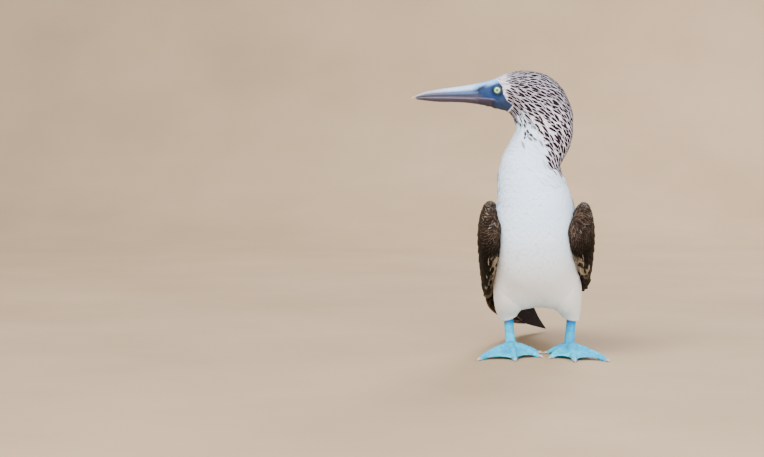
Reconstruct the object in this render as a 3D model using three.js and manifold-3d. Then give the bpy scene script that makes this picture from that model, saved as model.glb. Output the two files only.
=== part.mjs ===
// A blue-footed booby, life size, standing upright on level feet with its head turned to its right.
// Millimetres, +Z up. The bird faces -Y and its left side is at +X. Its right wing droops, so that
// the tip hangs under the tail, and its left wing is folded over the tail.

import * as THREE from "three";
import { mergeVertices } from "three/addons/utils/BufferGeometryUtils.js";
import Module from "manifold-3d";

const wasm = await Module();
wasm.setup();

// Driving dimensions of an adult male
const CROWN = 374.5; // floor to the top of the head
const CULMEN = 104; // bill tip to the feathers of the forehead
const BODY_HALF = 60; // half the widest part of the trunk, without the wings
const HEAD_Y = -57; // the head's own middle plane, over the toes
const BODY_X = -5; // the trunk's middle plane, measured from the middle of the stance
const GAP = 0.3; // kept between pieces that touch
const FLOOR = -4; // the sole of the feet; the toes arch up from here to the ankles

const EYE = new THREE.Vector3(-56.3, 13, 349.8); // the left eye's middle, y from the head's plane
const EYE_RADIUS = 7;

const LEG_X = { left: 40, right: -39 }; // the ankles
const BELLY_SIDES = 26; // facets round the trunk, neck and head

const v3 = (x, y, z) => new THREE.Vector3(x, y, z);

// Shared helpers: solids, lofts and smooth rows of numbers

function solidOf(geometry) {
  const bare = new THREE.BufferGeometry();
  const flat = geometry.index ? geometry.toNonIndexed() : geometry;
  bare.setAttribute("position", flat.getAttribute("position").clone());
  const merged = mergeVertices(bare, 1e-4);
  const mesh = new wasm.Mesh({
    numProp: 3,
    vertProperties: new Float32Array(merged.attributes.position.array),
    triVerts: new Uint32Array(merged.index.array),
  });
  return new wasm.Manifold(mesh);
}

function geometryOf(solid) {
  const mesh = solid.getMesh();
  const count = mesh.vertProperties.length / mesh.numProp;
  const positions = new Float32Array(count * 3);
  for (let i = 0; i < count; i++) {
    const from = i * mesh.numProp;
    positions.set(mesh.vertProperties.subarray(from, from + 3), i * 3);
  }
  const geometry = new THREE.BufferGeometry();
  geometry.setAttribute("position", new THREE.BufferAttribute(positions, 3));
  geometry.setIndex(new THREE.BufferAttribute(new Uint32Array(mesh.triVerts), 1));
  geometry.computeVertexNormals();
  return geometry;
}

// Joins solids and keeps the largest closed body, so that no loose scrap or sealed hollow stays.
function join(solids) {
  let whole = solids[0];
  for (const next of solids.slice(1)) whole = whole.add(next);
  return largest(whole);
}

function largest(solid) {
  return solid.decompose().sort((a, b) => b.volume() - a.volume())[0];
}

// A closed body through rings of points, each ring having the same count, with a fan at each end.
function loft(rings) {
  const sides = rings[0].length;
  const positions = [];
  const corner = (p) => positions.push(p.x, p.y, p.z);
  const face = (a, b, c) => [a, b, c].forEach(corner);
  for (let i = 0; i + 1 < rings.length; i++) {
    for (let j = 0; j < sides; j++) {
      const k = (j + 1) % sides;
      face(rings[i][j], rings[i][k], rings[i + 1][k]);
      face(rings[i][j], rings[i + 1][k], rings[i + 1][j]);
    }
  }
  const first = rings[0];
  const last = rings[rings.length - 1];
  const middle = (ring) => ring.reduce((sum, p) => sum.add(p), v3(0, 0, 0)).divideScalar(sides);
  const [start, end] = [middle(first), middle(last)];
  for (let j = 0; j < sides; j++) {
    const k = (j + 1) % sides;
    face(start, first[k], first[j]);
    face(end, last[j], last[k]);
  }
  const geometry = new THREE.BufferGeometry();
  geometry.setAttribute("position", new THREE.Float32BufferAttribute(positions, 3));
  const solid = solidOf(geometry);
  return solid.volume() > 0 ? solid : turned(geometry);
}

// The same geometry with every face turned round.
function turned(geometry) {
  const p = geometry.getAttribute("position").array;
  for (let i = 0; i < p.length; i += 9) {
    for (let c = 0; c < 3; c++) [p[i + 3 + c], p[i + 6 + c]] = [p[i + 6 + c], p[i + 3 + c]];
  }
  return solidOf(geometry);
}

// A smooth curve through a row of numbers, read at t from 0 to 1.
function smooth(values) {
  const curve = new THREE.CatmullRomCurve3(values.map((y, i) => v3(i, y, 0)), false, "catmullrom", 0.5);
  return (t) => curve.getPoint(t).y;
}

// A smooth path through points, read at t from 0 to 1, with the points evenly spaced in t.
function path(points) {
  const curve = new THREE.CatmullRomCurve3(points, false, "centripetal");
  return (t) => curve.getPoint(t);
}

function directionOf(along, t) {
  const step = 0.004;
  const [low, high] = [Math.max(0, t - step), Math.min(1, t + step)];
  return along(high).sub(along(low)).normalize();
}

// An oval ring round a middle point, with half sizes a along the unit vector u and b along v.
// A power below 1 squares its corners, and egg narrows the side that u points to.
function oval(middle, u, v, a, b, sides, power = 1, egg = 0) {
  const shaped = (value) => Math.sign(value) * Math.abs(value) ** power;
  return Array.from({ length: sides }, (_, j) => {
    const turn = (2 * Math.PI * j) / sides;
    const high = a * shaped(Math.cos(turn));
    const wide = b * shaped(Math.sin(turn)) * (1 - egg * Math.cos(turn));
    return middle.clone().addScaledVector(u, high).addScaledVector(v, wide);
  });
}

// A tapered limb along a path. The sizes give half the width and half the depth at each t.
function limb(along, halfWidth, halfDepth, across, steps, sides) {
  const rings = [];
  for (let i = 0; i <= steps; i++) {
    const t = i / steps;
    const forward = directionOf(along, t);
    const side = across.clone().addScaledVector(forward, -across.dot(forward)).normalize();
    const up = side.clone().cross(forward).normalize();
    rings.push(oval(along(t), side, up, halfWidth(t), halfDepth(t), sides));
  }
  return loft(rings);
}

function boxSolid(low, high) {
  const size = high.clone().sub(low);
  const box = new THREE.BoxGeometry(size.x, size.y, size.z);
  box.translate((low.x + high.x) / 2, (low.y + high.y) / 2, (low.z + high.z) / 2);
  return solidOf(box);
}

function ball(middle, radius, rows = 7) {
  const sphere = new THREE.SphereGeometry(radius, rows * 2, rows);
  sphere.translate(middle.x, middle.y, middle.z);
  return solidOf(sphere);
}

// The part of a solid on the side of a plane that its normal points to, at least half a gap away.
function beyond(solid, normal, point) {
  const unit = normal.clone().normalize();
  return solid.trimByPlane([unit.x, unit.y, unit.z], unit.dot(point) + GAP / 2);
}

// The trunk, neck and head are one smooth form, built through stations from the tail's root to the
// bill's root. Each station has its belly or throat point, its back or crown point and half its width.

const TRUNK = [
  { name: "tail root", under: [146, 68], over: [158, 92], half: 23 },
  { name: "vent", under: [106, 60], over: [134, 118], half: 38 },
  { name: "hips", under: [58, 56], over: [100, 150], half: 50 },
  { name: "legs", under: [8, 57.5], over: [68, 180], half: 54.5 },
  { name: "belly", under: [-42, 72], over: [40, 204], half: BODY_HALF - 3, x: -4.5 },
  { name: "lower breast", under: [-85, 101], over: [18, 220], half: BODY_HALF - 4.5, x: -5 },
  { name: "breast", under: [-109, 143], over: [1, 231], half: 52, x: -7 },
  { name: "shoulders", under: [-115, 183], over: [-14, 236], half: 48, x: -9.5 },
];

// The neck turns a quarter round on its way up, so a station gives its turn in degrees.
const NECK = [
  { name: "neck base", x: -12.5, y: -65, z: 227, tilt: 17, deep: 46, half: 43, turn: 12 },
  { name: "neck waist", x: -14, y: -63, z: 247, tilt: 8, deep: 41, half: 39, turn: 36 },
  { name: "nape's lower end", x: -8, y: -60, z: 264.5, tilt: 5, deep: 44, half: 34.5, turn: 62 },
  { name: "upper neck", x: 0, y: -58, z: 284, tilt: 4, deep: 41, half: 32, turn: 82 },
];

// Head stations lie in the head's own plane: [x, z] of the throat and of the crown.
const HEAD = [
  { name: "nape", under: [-32, 297.5], over: [41.5, 303], half: 32 },
  { name: "hind neck", under: [-33, 303.5], over: [41.5, 318], half: 32.5 },
  { name: "occiput", under: [-34.5, 309.5], over: [36.5, 334], half: 32.5 },
  { name: "hind crown", under: [-36, 314], over: [26.5, 353], half: 31 },
  { name: "crown", under: [-38.5, 317.5], over: [10, 367.5], half: 28.5 },
  { name: "top", under: [-42, 320], over: [-9, 373.4], half: 26 },
  { name: "fore crown", under: [-46, 322], over: [-27, CROWN], half: 23.5 },
  { name: "forehead", under: [-51, 323.8], over: [-44.5, 370.8], half: 21 },
  { name: "eyes", under: [-57.5, 325], over: [-58.5, 365.2], half: 18 },
  { name: "lores", under: [-68, 328], over: [-70.5, 360.9], half: 13.8 },
  { name: "bill root", under: [-81, 330.8], over: [-81, 358.7], half: 11.2 },
];

function trunkStation({ under, over, half, x = BODY_X }) {
  return { under: v3(x, ...under), over: v3(x, ...over), half };
}

function neckStation({ x, y, z, tilt, deep, half, turn }) {
  const angle = THREE.MathUtils.degToRad(turn);
  const rise = deep * Math.tan(THREE.MathUtils.degToRad(tilt));
  const reach = v3(-Math.sin(angle) * deep, -Math.cos(angle) * deep, -rise);
  const middle = v3(x, y, z);
  return { under: middle.clone().add(reach), over: middle.clone().sub(reach), half };
}

function headStation({ under, over, half }) {
  return { under: v3(under[0], HEAD_Y, under[1]), over: v3(over[0], HEAD_Y, over[1]), half };
}

const STATIONS = [...TRUNK.map(trunkStation), ...NECK.map(neckStation), ...HEAD.map(headStation)];
const underLine = path(STATIONS.map((s) => s.under));
const overLine = path(STATIONS.map((s) => s.over));
const halfWidth = smooth(STATIONS.map((s) => s.half));
const spine = (t) => underLine(t).add(overLine(t)).multiplyScalar(0.5);

// One ring of the body at t, swollen by grow on every side.
function bodyRing(t, grow) {
  const depth = overLine(t).sub(underLine(t));
  const up = depth.clone().normalize();
  const side = directionOf(spine, t).cross(up).normalize();
  const power = 0.76 + 0.24 * THREE.MathUtils.smoothstep(t, 0.18, 0.42);
  const high = depth.length() / 2 + grow;
  return oval(spine(t), up, side, high, halfWidth(t) + grow, BELLY_SIDES, power, 0.07);
}

const RINGS_PER_STATION = 2;

function body(grow = 0) {
  const count = Math.round((STATIONS.length - 1) * RINGS_PER_STATION);
  return loft(Array.from({ length: count + 1 }, (_, i) => bodyRing(i / count, grow)));
}

// Planes where the neck is parted from the trunk and from the head
const NECK_CUT = { point: v3(BODY_X, -63, 236), normal: v3(0, -0.38, 0.93) };
const HEAD_CUT = { point: v3(0, HEAD_Y, 305), normal: v3(-0.12, 0, 1) };
const opposite = (vector) => vector.clone().negate();

// The bare face: in front of the line where the feathers of the head begin. [x, z], from the forehead
// down behind the eye to the corner of the throat, then round in front of the bill's root.
const FACE_EDGE = [
  [-65, 376],
  [-57, 362],
  [-50.5, 355],
  [-49, 344],
  [-44, 336],
  [-36.5, 330.5],
  [-47, 318],
];

function facePrism(grow) {
  const outline = new THREE.Shape();
  outline.moveTo(-100, 300);
  outline.lineTo(-100, 390);
  const edge = FACE_EDGE.map(([x, z]) => new THREE.Vector2(x + grow, z));
  outline.lineTo(edge[0].x, 390);
  outline.lineTo(edge[0].x, edge[0].y);
  outline.splineThru(edge.slice(1));
  outline.lineTo(edge[edge.length - 1].x, 300);
  const prism = new THREE.ExtrudeGeometry(outline, { depth: 90, bevelEnabled: false, curveSegments: 3 });
  prism.rotateX(Math.PI / 2);
  prism.translate(0, HEAD_Y + 45, 0);
  return solidOf(prism);
}

function eyeMiddle(side) {
  return v3(EYE.x, HEAD_Y + side * EYE.y, EYE.z);
}

const LID_OPENING = 4.1;
const LID_THICK = 1.3;

// A raised ring of skin round the eye, kept clear of the face below it.
function lid(side, face) {
  const middle = eyeMiddle(side);
  const opening = new THREE.CylinderGeometry(LID_OPENING, LID_OPENING, 40, 16);
  opening.translate(middle.x, middle.y, middle.z);
  const shell = ball(middle, EYE_RADIUS + GAP + LID_THICK).subtract(ball(middle, EYE_RADIUS + GAP));
  return largest(shell.subtract(face).subtract(solidOf(opening)));
}

// The mouth's line goes on from the bill across the face to below the eye, as [x, y, z].
const GAPE = [
  [-83, 9.6, 339.3],
  [-69, 13.7, 338.5],
  [-60, 17, 337.1],
  [-53, 18.9, 335.4],
];

function gapeLine(side) {
  const along = path(GAPE.map(([x, y, z]) => v3(x, HEAD_Y + side * y, z)));
  return limb(along, smooth([0.7, 0.7, 0.5]), smooth([0.9, 0.9, 0.6]), v3(0, 0, 1), 6, 6);
}

// The bill: upper and lower halves that meet along the mouth, each a loft of sections across X.
const BILL_ROOT = -81;
const BILL_TIP = FACE_EDGE[0][0] - CULMEN;
const MOUTH = smooth([339.3, 339.9, 340.3, 340.4, 340.2, 338.8]);
const CULMEN_LINE = smooth([358.7, 355.4, 352.9, 350.6, 347.2, 339.8]);
const LOWER_LINE = smooth([330.8, 333, 333.8, 334.1, 335.8, 338.2]);
const UPPER_HALF = smooth([11, 8.2, 6.4, 5, 3.6, 1]);
const BILL_STEPS = 12;

// Half a section from the mouth's edge over the top, as [share of half width, share of height].
const UPPER_SECTION = [
  [0.96, 0],
  [1, 0.22],
  [0.9, 0.42],
  [0.8, 0.5],
  [0.72, 0.72],
  [0.42, 0.94],
];
const LOWER_SECTION = [
  [0.9, 0],
  [0.92, 0.35],
  [0.74, 0.72],
  [0.36, 0.96],
];

function billHalf(section, edge, ridge, width, from, to) {
  const rings = [];
  for (let i = 0; i <= BILL_STEPS; i++) {
    const t = i / BILL_STEPS;
    const x = THREE.MathUtils.lerp(from, to, t);
    const share = (x - BILL_ROOT) / (BILL_TIP - BILL_ROOT);
    const high = ridge(share) - edge(share);
    const right = section.map(([w, h]) => v3(x, HEAD_Y + w * width(share), edge(share) + h * high));
    const left = section.map(([w, h]) => v3(x, HEAD_Y - w * width(share), edge(share) + h * high));
    rings.push([...right, v3(x, HEAD_Y, ridge(share)), ...left.reverse()]);
  }
  return loft(rings);
}

function upperBill() {
  const edge = (t) => MOUTH(t) + GAP / 2;
  return billHalf(UPPER_SECTION, edge, CULMEN_LINE, UPPER_HALF, BILL_ROOT - GAP, BILL_TIP);
}

function lowerBill() {
  const edge = (t) => MOUTH(t) - GAP / 2;
  const width = (t) => UPPER_HALF(t) * 0.94;
  return billHalf(LOWER_SECTION, edge, LOWER_LINE, width, BILL_ROOT - GAP, BILL_TIP + 6);
}

// Wings. Each row is a station from the wrist to the tip: its middle, full height and full thickness,
// and how far its top edge leans in over the back, in degrees.
const RIGHT_WING = [
  { at: [-58, -92, 186], high: 24, thick: 9, lean: 0 },
  { at: [-62, -83, 178], high: 62, thick: 24, lean: 0 },
  { at: [-64.5, -60, 163.5], high: 91, thick: 34, lean: 0 },
  { at: [-66.5, -18, 143], high: 104, thick: 32, lean: 1 },
  { at: [-64.5, 32, 120], high: 104, thick: 25, lean: 4 },
  { at: [-53, 82, 95], high: 93, thick: 19, lean: 10 },
  { at: [-40, 130, 67], high: 72, thick: 13, lean: 18 },
  { at: [-26, 174, 38], high: 46, thick: 8, lean: 26 },
  { at: [-9, 208, 17], high: 24, thick: 5, lean: 30 },
  { at: [9, 240, 0.3], high: 6, thick: 2, lean: 30 },
];

const LEFT_WING = [
  { at: [44, -92, 184], high: 24, thick: 9, lean: 0 },
  { at: [49, -83, 176], high: 62, thick: 24, lean: 0 },
  { at: [55, -60, 163], high: 88, thick: 32, lean: 0 },
  { at: [57, -18, 146], high: 100, thick: 30, lean: 1 },
  { at: [54.5, 32, 128], high: 98, thick: 25, lean: 4 },
  { at: [43, 82, 112], high: 84, thick: 19, lean: 12 },
  { at: [29, 132, 98], high: 62, thick: 13, lean: 22 },
  { at: [13, 182, 79], high: 42, thick: 8, lean: 30 },
  { at: [0, 225, 62], high: 26, thick: 5, lean: 34 },
  { at: [-10, 264, 47], high: 7, thick: 2, lean: 34 },
];

// A wing's surface as a function: s from wrist to tip, q from the top edge over the outer side to the
// bottom edge and on over the inner side, and lift above the surface.
function wingSkin(stations) {
  const along = path(stations.map((station) => v3(...station.at)));
  const high = smooth(stations.map((station) => station.high / 2));
  const thick = smooth(stations.map((station) => station.thick / 2));
  const lean = smooth(stations.map((station) => THREE.MathUtils.degToRad(station.lean)));
  const outer = Math.sign(stations[0].at[0] - BODY_X);
  const point = (s, q, lift = 0) => {
    const forward = directionOf(along, s);
    const upright = v3(0, 0, 1).addScaledVector(forward, -forward.z).normalize();
    const level = forward.clone().cross(upright).normalize().multiplyScalar(outer);
    const [sine, cosine] = [Math.sin(lean(s)), Math.cos(lean(s))];
    const up = upright.clone().multiplyScalar(cosine).addScaledVector(level, -sine);
    const out = level.multiplyScalar(cosine).addScaledVector(upright, sine);
    const a = Math.max(high(s) + lift, 0.5);
    const b = Math.max(thick(s) + lift, 0.4);
    const middle = along(s).addScaledVector(up, a * Math.cos(Math.PI * q));
    return middle.addScaledVector(out, b * Math.sin(Math.PI * q));
  };
  const girth = (s) => Math.PI * Math.sqrt((high(s) ** 2 + thick(s) ** 2) / 2);
  return { point, girth };
}

function wingForm(stations, grow, steps, sides) {
  const { point } = wingSkin(stations);
  const ring = (s) => Array.from({ length: sides }, (_, j) => point(s, (2 * j) / sides, grow));
  return loft(Array.from({ length: steps + 1 }, (_, i) => ring(i / steps)));
}

// A small even random number that is the same on every run
let seed = 20240611;
function chance() {
  seed = (seed * 1664525 + 1013904223) % 4294967296;
  return seed / 4294967296;
}

const VANE_SHAPE = smooth([0.5, 0.9, 1, 0.98, 0.8, 0.15]);
const VANE_THICK = 0.9;

// One feather on a wing: its root is sunk in the core and its tip stands a little proud of the rest.
function wingVane(skin, root, q, reach, width, tipLift) {
  const steps = reach > 0.2 ? 6 : 3;
  const rings = [];
  for (let i = 0; i <= steps; i++) {
    const a = i / steps;
    const s = Math.min(root + reach * a, 1);
    const half = Math.min((VANE_SHAPE(a) * width) / 2 / skin.girth(s), 0.42);
    const lift = THREE.MathUtils.lerp(-CORE_DEPTH - VANE_THICK, tipLift, Math.min(1, a * 1.6));
    rings.push([
      skin.point(s, q - half, lift),
      skin.point(s, q, lift + VANE_THICK / 2),
      skin.point(s, q + half, lift),
      skin.point(s, q, lift - VANE_THICK / 2),
    ]);
  }
  return loft(rings);
}

// Tiers of a folded wing, lowest first. Each has its roots' s, its reach in s, the q of its first and
// last feather, their number, their width and how high the tips stand.
const CORE_DEPTH = 2.4;
const TIERS = [
  { name: "primaries", root: [0.5, 0.5], reach: [0.34, 0.5], q: [0.9, 0.5], count: 5, width: 18, tip: 0.5 },
  { name: "secondaries", root: [0.42, 0.36], reach: [0.27, 0.4], q: [0.72, 0.12], count: 6, width: 19, tip: 1.1 },
  { name: "greater coverts", root: [0.29, 0.29], reach: [0.14, 0.14], q: [0.9, 0.1], count: 6, width: 21, tip: 1.7 },
  { name: "median coverts", root: [0.19, 0.19], reach: [0.13, 0.13], q: [0.92, 0.08], count: 5, width: 24, tip: 1.9 },
  { name: "lesser coverts", root: [0.1, 0.1], reach: [0.12, 0.12], q: [0.86, 0.14], count: 4, width: 24, tip: 1.7 },
];

function feathersOf(skin, tier) {
  const { mapLinear, lerp } = THREE.MathUtils;
  return Array.from({ length: tier.count }, (_, i) => {
    const share = tier.count > 1 ? i / (tier.count - 1) : 0;
    const vary = 0.94 + 0.12 * chance();
    const root = lerp(...tier.root, share) + mapLinear(chance(), 0, 1, -0.008, 0.008);
    const reach = Math.min(lerp(...tier.reach, share) * vary, 1 - root);
    return wingVane(skin, root, lerp(...tier.q, share), reach, tier.width * vary, tier.tip);
  });
}

function wing(stations, clearance) {
  const skin = wingSkin(stations);
  const core = wingForm(stations, -CORE_DEPTH, 13, 10);
  const tiers = TIERS.flatMap((tier) => feathersOf(skin, tier));
  return largest(join([core, ...tiers]).subtract(clearance));
}

// Tail: a root block that goes on from the trunk's end face, and pointed feathers in a wedge.
const TAIL_TIP = v3(-7, 284, 30);
const TAIL_FEATHERS = 10;
const TAIL_SPREAD = 21;
const TAIL_FEATHER_WIDTH = 15;
const tailShape = smooth([0.6, 0.85, 1, 1, 0.9, 0.6, 0.12]);

function tailFeather(root, share) {
  const aside = 2 * share - 1;
  const central = 1 - Math.abs(aside);
  const reach = 0.66 + 0.34 * central;
  const rings = [];
  const steps = 5;
  for (let i = 0; i <= steps; i++) {
    const a = i / steps;
    const middle = root.clone().lerp(TAIL_TIP, a * reach);
    middle.x += aside * TAIL_SPREAD * (0.7 + 0.3 * Math.sin(Math.PI * a * 0.8));
    middle.z += 2.6 * central - 2.5 * aside * aside + 4 * Math.sin(Math.PI * a * reach);
    const half = (tailShape(a) * TAIL_FEATHER_WIDTH) / 2;
    const ring = [v3(half, 0, 0), v3(0, 0, VANE_THICK / 2), v3(-half, 0, 0), v3(0, 0, -VANE_THICK / 2)];
    rings.push(ring.map((corner) => corner.add(middle)));
  }
  return loft(rings);
}

function tail() {
  const root = spine(0);
  const block = path([root, root.clone().lerp(TAIL_TIP, 0.16), root.clone().lerp(TAIL_TIP, 0.34)]);
  const form = limb(block, smooth([20.5, 21, 16]), smooth([12.5, 8, 1.2]), v3(1, 0, 0), 5, 14);
  const inside = root.clone().lerp(TAIL_TIP, 0.06);
  const shares = Array.from({ length: TAIL_FEATHERS }, (_, i) => (i + 0.5) / TAIL_FEATHERS);
  const whole = join([form, ...shares.map((share) => tailFeather(inside, share))]);
  const endFace = overLine(0).sub(underLine(0)).cross(v3(1, 0, 0));
  return beyond(whole, endFace, root.addScaledVector(endFace.normalize(), GAP / 2));
}

// Legs: the feathered shank ends in a hem that hangs lower on its outer side, where the bare tarsus
// begins. THIGH gives the middle of the feathered leg from inside the belly down to the hem.
const SHANK_TOP = 44.5;
const HEM_SLOPE = 0.22;
const ANKLE_TOP = 13;
const THIGH = {
  left: [v3(31, -12, 112), v3(35.5, -14, 86), v3(39.5, 1, 62), v3(42.5, 13, 40)],
  right: [v3(-38, -12, 112), v3(-41.5, -14, 86), v3(-43.5, 1, 62), v3(-41.5, 13, 40)],
};

function hem(side) {
  return { normal: v3(Math.sign(LEG_X[side]) * HEM_SLOPE, 0, 1), point: v3(LEG_X[side], 0, SHANK_TOP) };
}

function thigh(side) {
  const wide = smooth([19, 19, 16, 10.5]);
  const deep = smooth([30, 28, 21, 9.5]);
  const form = limb(path(THIGH[side]), wide, deep, v3(1, 0, 0), 9, 16);
  return beyond(form, hem(side).normal, hem(side).point);
}

function tarsus(side) {
  const x = LEG_X[side];
  const sign = Math.sign(x);
  const along = path([v3(x + sign * 3.4, 13, 49), v3(x + sign * 1.5, 7, 28), v3(x, 1, 9)]);
  const form = limb(along, smooth([6.2, 6.2, 6.3, 7.6]), smooth([6.8, 6.4, 6.4, 7.2]), v3(1, 0, 0), 8, 12);
  const above = beyond(form, v3(0, 0, 1), v3(0, 0, ANKLE_TOP));
  return beyond(above, opposite(hem(side).normal), hem(side).point);
}

// Toes, as [x towards the bird's outer side, y] of each tip from the ankle, hallux first
const TOES = {
  right: [
    { tip: [-36, -5], radius: 3.2 },
    { tip: [-38, -43], radius: 3.6 },
    { tip: [-7, -78], radius: 4.2 },
    { tip: [38, -77], radius: 3.8 },
  ],
  left: [
    { tip: [-28, -7], radius: 3.2 },
    { tip: [-24, -52], radius: 3.6 },
    { tip: [6, -79], radius: 4.2 },
    { tip: [47, -75], radius: 3.8 },
  ],
};
const ANKLE_Z = 8.5;
const TOE_END = 0.8; // share of the toe's radius left at its end
const TOE_SINK = 0.7; // share of that end above the floor, so that each toe rests on a small flat

function toePath(side, { tip, radius }) {
  const outward = Math.sign(LEG_X[side]);
  const start = v3(LEG_X[side], 0, ANKLE_Z);
  const height = FLOOR + radius * TOE_END * TOE_SINK;
  const end = v3(LEG_X[side] + outward * tip[0], tip[1], height);
  const middle = start.clone().lerp(end, 0.5).add(v3(0, 0, 2));
  return path([start, middle, end]);
}

function toe(side, spec) {
  const r = spec.radius;
  const wide = smooth([r * 1.5, r * 1.05, r * 1.22, r * 0.98, r * 1.1, r * TOE_END]);
  return limb(toePath(side, spec), wide, wide, v3(0, 0, 1), 7, 8);
}

const WEB_HALF_THICK = 0.6;

function web(side, from, to) {
  const [a, b] = [toePath(side, from), toePath(side, to)];
  const [along, across] = [4, 4];
  const reach = 0.96;
  const rows = [];
  for (let j = 0; j <= across; j++) {
    const v = j / across;
    const pull = 1 - 0.13 * Math.sin(Math.PI * v);
    const row = [];
    for (let i = 0; i <= along; i++) {
      const u = (i / along) * reach * pull;
      const p = a(u).lerp(b(u), v);
      p.z -= 0.25 * p.z * Math.sin(Math.PI * v);
      row.push(p);
    }
    rows.push(row);
  }
  const rings = rows.map((row) => [
    ...row.map((p) => p.clone().add(v3(0, 0, WEB_HALF_THICK))),
    ...row.map((p) => p.clone().sub(v3(0, 0, WEB_HALF_THICK))).reverse(),
  ]);
  return loft(rings);
}

function foot(side) {
  const toes = TOES[side];
  const ankle = ball(v3(LEG_X[side], 0, 8), 8.2, 5);
  const pieces = [ankle, ...toes.map((spec) => toe(side, spec))];
  for (let i = 0; i + 1 < toes.length; i++) pieces.push(web(side, toes[i], toes[i + 1]));
  const whole = join(pieces);
  const room = boxSolid(v3(-200, -200, -50), v3(200, 200, FLOOR));
  return beyond(largest(whole.subtract(room)), v3(0, 0, -1), v3(0, 0, ANKLE_TOP));
}

const CLAW_LENGTH = 9;

function claw(side, spec) {
  const along = toePath(side, spec);
  const end = along(1);
  const forward = directionOf(along, 1);
  const tip = end.clone().addScaledVector(forward, CLAW_LENGTH).setZ(FLOOR + 1);
  const middle = end.clone().lerp(tip, 0.5).add(v3(0, 0, 1));
  const size = smooth([spec.radius * 0.62, spec.radius * 0.55, 0.4]);
  const form = limb(path([end, middle, tip]), size, size, v3(0, 0, 1), 4, 7);
  const free = beyond(form, forward, end.addScaledVector(forward, GAP / 2));
  return beyond(free, v3(0, 0, 1), v3(0, 0, FLOOR));
}

// Assembly
const bird = new THREE.Group();

const FINISH = {
  white: { color: 0xe9eaec, roughness: 0.9 },
  streaked: { color: 0x9c8a80, roughness: 0.9 },
  brown: { color: 0x3a2a20, roughness: 0.85 },
  face: { color: 0x4a5f7c, roughness: 0.55 },
  bill: { color: 0x8e9cb0, roughness: 0.45 },
  iris: { color: 0xc6dc5a, roughness: 0.15 },
  blue: { color: 0x4fc6e6, roughness: 0.6 },
  horn: { color: 0xcdbfb4, roughness: 0.5 },
};

function place(name, solid, finish) {
  const material = new THREE.MeshStandardMaterial({ ...FINISH[finish], metalness: 0 });
  const mesh = new THREE.Mesh(geometryOf(solid), material);
  mesh.name = name;
  bird.add(mesh);
  return mesh;
}

const whole = body();
const clear = body(GAP);
const headAndFace = largest(beyond(whole, HEAD_CUT.normal, HEAD_CUT.point));
const neck = beyond(beyond(whole, NECK_CUT.normal, NECK_CUT.point), opposite(HEAD_CUT.normal), HEAD_CUT.point);
const torso = largest(beyond(whole, opposite(NECK_CUT.normal), NECK_CUT.point));
const sockets = [1, -1].map((side) => ball(eyeMiddle(side), EYE_RADIUS + GAP));

place("torso", torso, "white");
place("neck", largest(neck), "white");
place("head", largest(headAndFace.subtract(facePrism(GAP))), "streaked");
const cuts = [...sockets, gapeLine(1), gapeLine(-1)];
const face = cuts.reduce((solid, cut) => solid.subtract(cut), headAndFace.intersect(facePrism(0)));
place("face", largest(face), "face");
place("lid_left", lid(-1, clear), "face");
place("lid_right", lid(1, clear), "face");
place("eye_left", ball(eyeMiddle(-1), EYE_RADIUS), "iris");
place("eye_right", ball(eyeMiddle(1), EYE_RADIUS), "iris");
place("upper_bill", upperBill(), "bill");
place("lower_bill", lowerBill(), "bill");

const tailRoom = wingForm(RIGHT_WING, 3.2, 14, 12).add(wingForm(LEFT_WING, 3.2, 14, 12));
const wingRoom = { left: wingForm(LEFT_WING, 3.2, 14, 12), right: wingForm(RIGHT_WING, 3.2, 14, 12) };
place("wing_right", wing(RIGHT_WING, clear), "brown");
place("wing_left", wing(LEFT_WING, clear), "brown");
place("tail", largest(tail().subtract(tailRoom)), "brown");
for (const side of ["left", "right"]) {
  place(`thigh_${side}`, largest(thigh(side).subtract(clear).subtract(wingRoom[side])), "white");
  place(`tarsus_${side}`, tarsus(side), "blue");
  place(`foot_${side}`, foot(side), "blue");
  TOES[side].forEach((spec, i) => place(`claw_${side}_${i + 1}`, claw(side, spec), "horn"));
}

// The origin is on the floor, under the middle of the whole bird's box.
const box = new THREE.Box3().setFromObject(bird);
bird.position.set(-(box.min.x + box.max.x) / 2, -(box.min.y + box.max.y) / 2, -box.min.z);

export default bird;
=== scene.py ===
# %% [markdown]
# # A blue-footed booby, dressed over its solid frame
#
# The solid model gives the shape and the size. This lesson covers it: a skin, some six thousand small
# feathers, vanes for the wings and tail, and the bare face, bill, eyes, legs and feet. Everything is
# made by short functions, so that each choice can be changed and seen at once.

import math

import bmesh
import bpy
import numpy as np
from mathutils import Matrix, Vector
from mathutils.kdtree import KDTree


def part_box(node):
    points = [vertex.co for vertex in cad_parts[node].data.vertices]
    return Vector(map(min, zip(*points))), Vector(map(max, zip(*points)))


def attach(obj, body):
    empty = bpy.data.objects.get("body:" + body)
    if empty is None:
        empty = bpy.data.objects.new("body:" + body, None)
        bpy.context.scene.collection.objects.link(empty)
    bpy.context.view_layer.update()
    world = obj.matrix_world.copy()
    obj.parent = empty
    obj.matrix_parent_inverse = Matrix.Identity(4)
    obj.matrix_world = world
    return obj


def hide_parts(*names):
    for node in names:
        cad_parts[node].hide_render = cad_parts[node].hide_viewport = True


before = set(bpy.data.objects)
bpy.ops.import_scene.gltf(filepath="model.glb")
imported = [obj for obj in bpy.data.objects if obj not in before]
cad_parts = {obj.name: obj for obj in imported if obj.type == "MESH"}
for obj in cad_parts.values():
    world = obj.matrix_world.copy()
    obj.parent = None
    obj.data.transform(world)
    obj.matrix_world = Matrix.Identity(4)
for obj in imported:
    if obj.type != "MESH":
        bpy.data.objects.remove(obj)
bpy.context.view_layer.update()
print("nodes in the frame:", len(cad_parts))

# %% [markdown]
# Sizes below are written in millimetres, measured from the middle of the stance. The frame has its own
# origin, so one fixed point that both share, the middle of the left eye, carries one over to the other.

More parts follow.
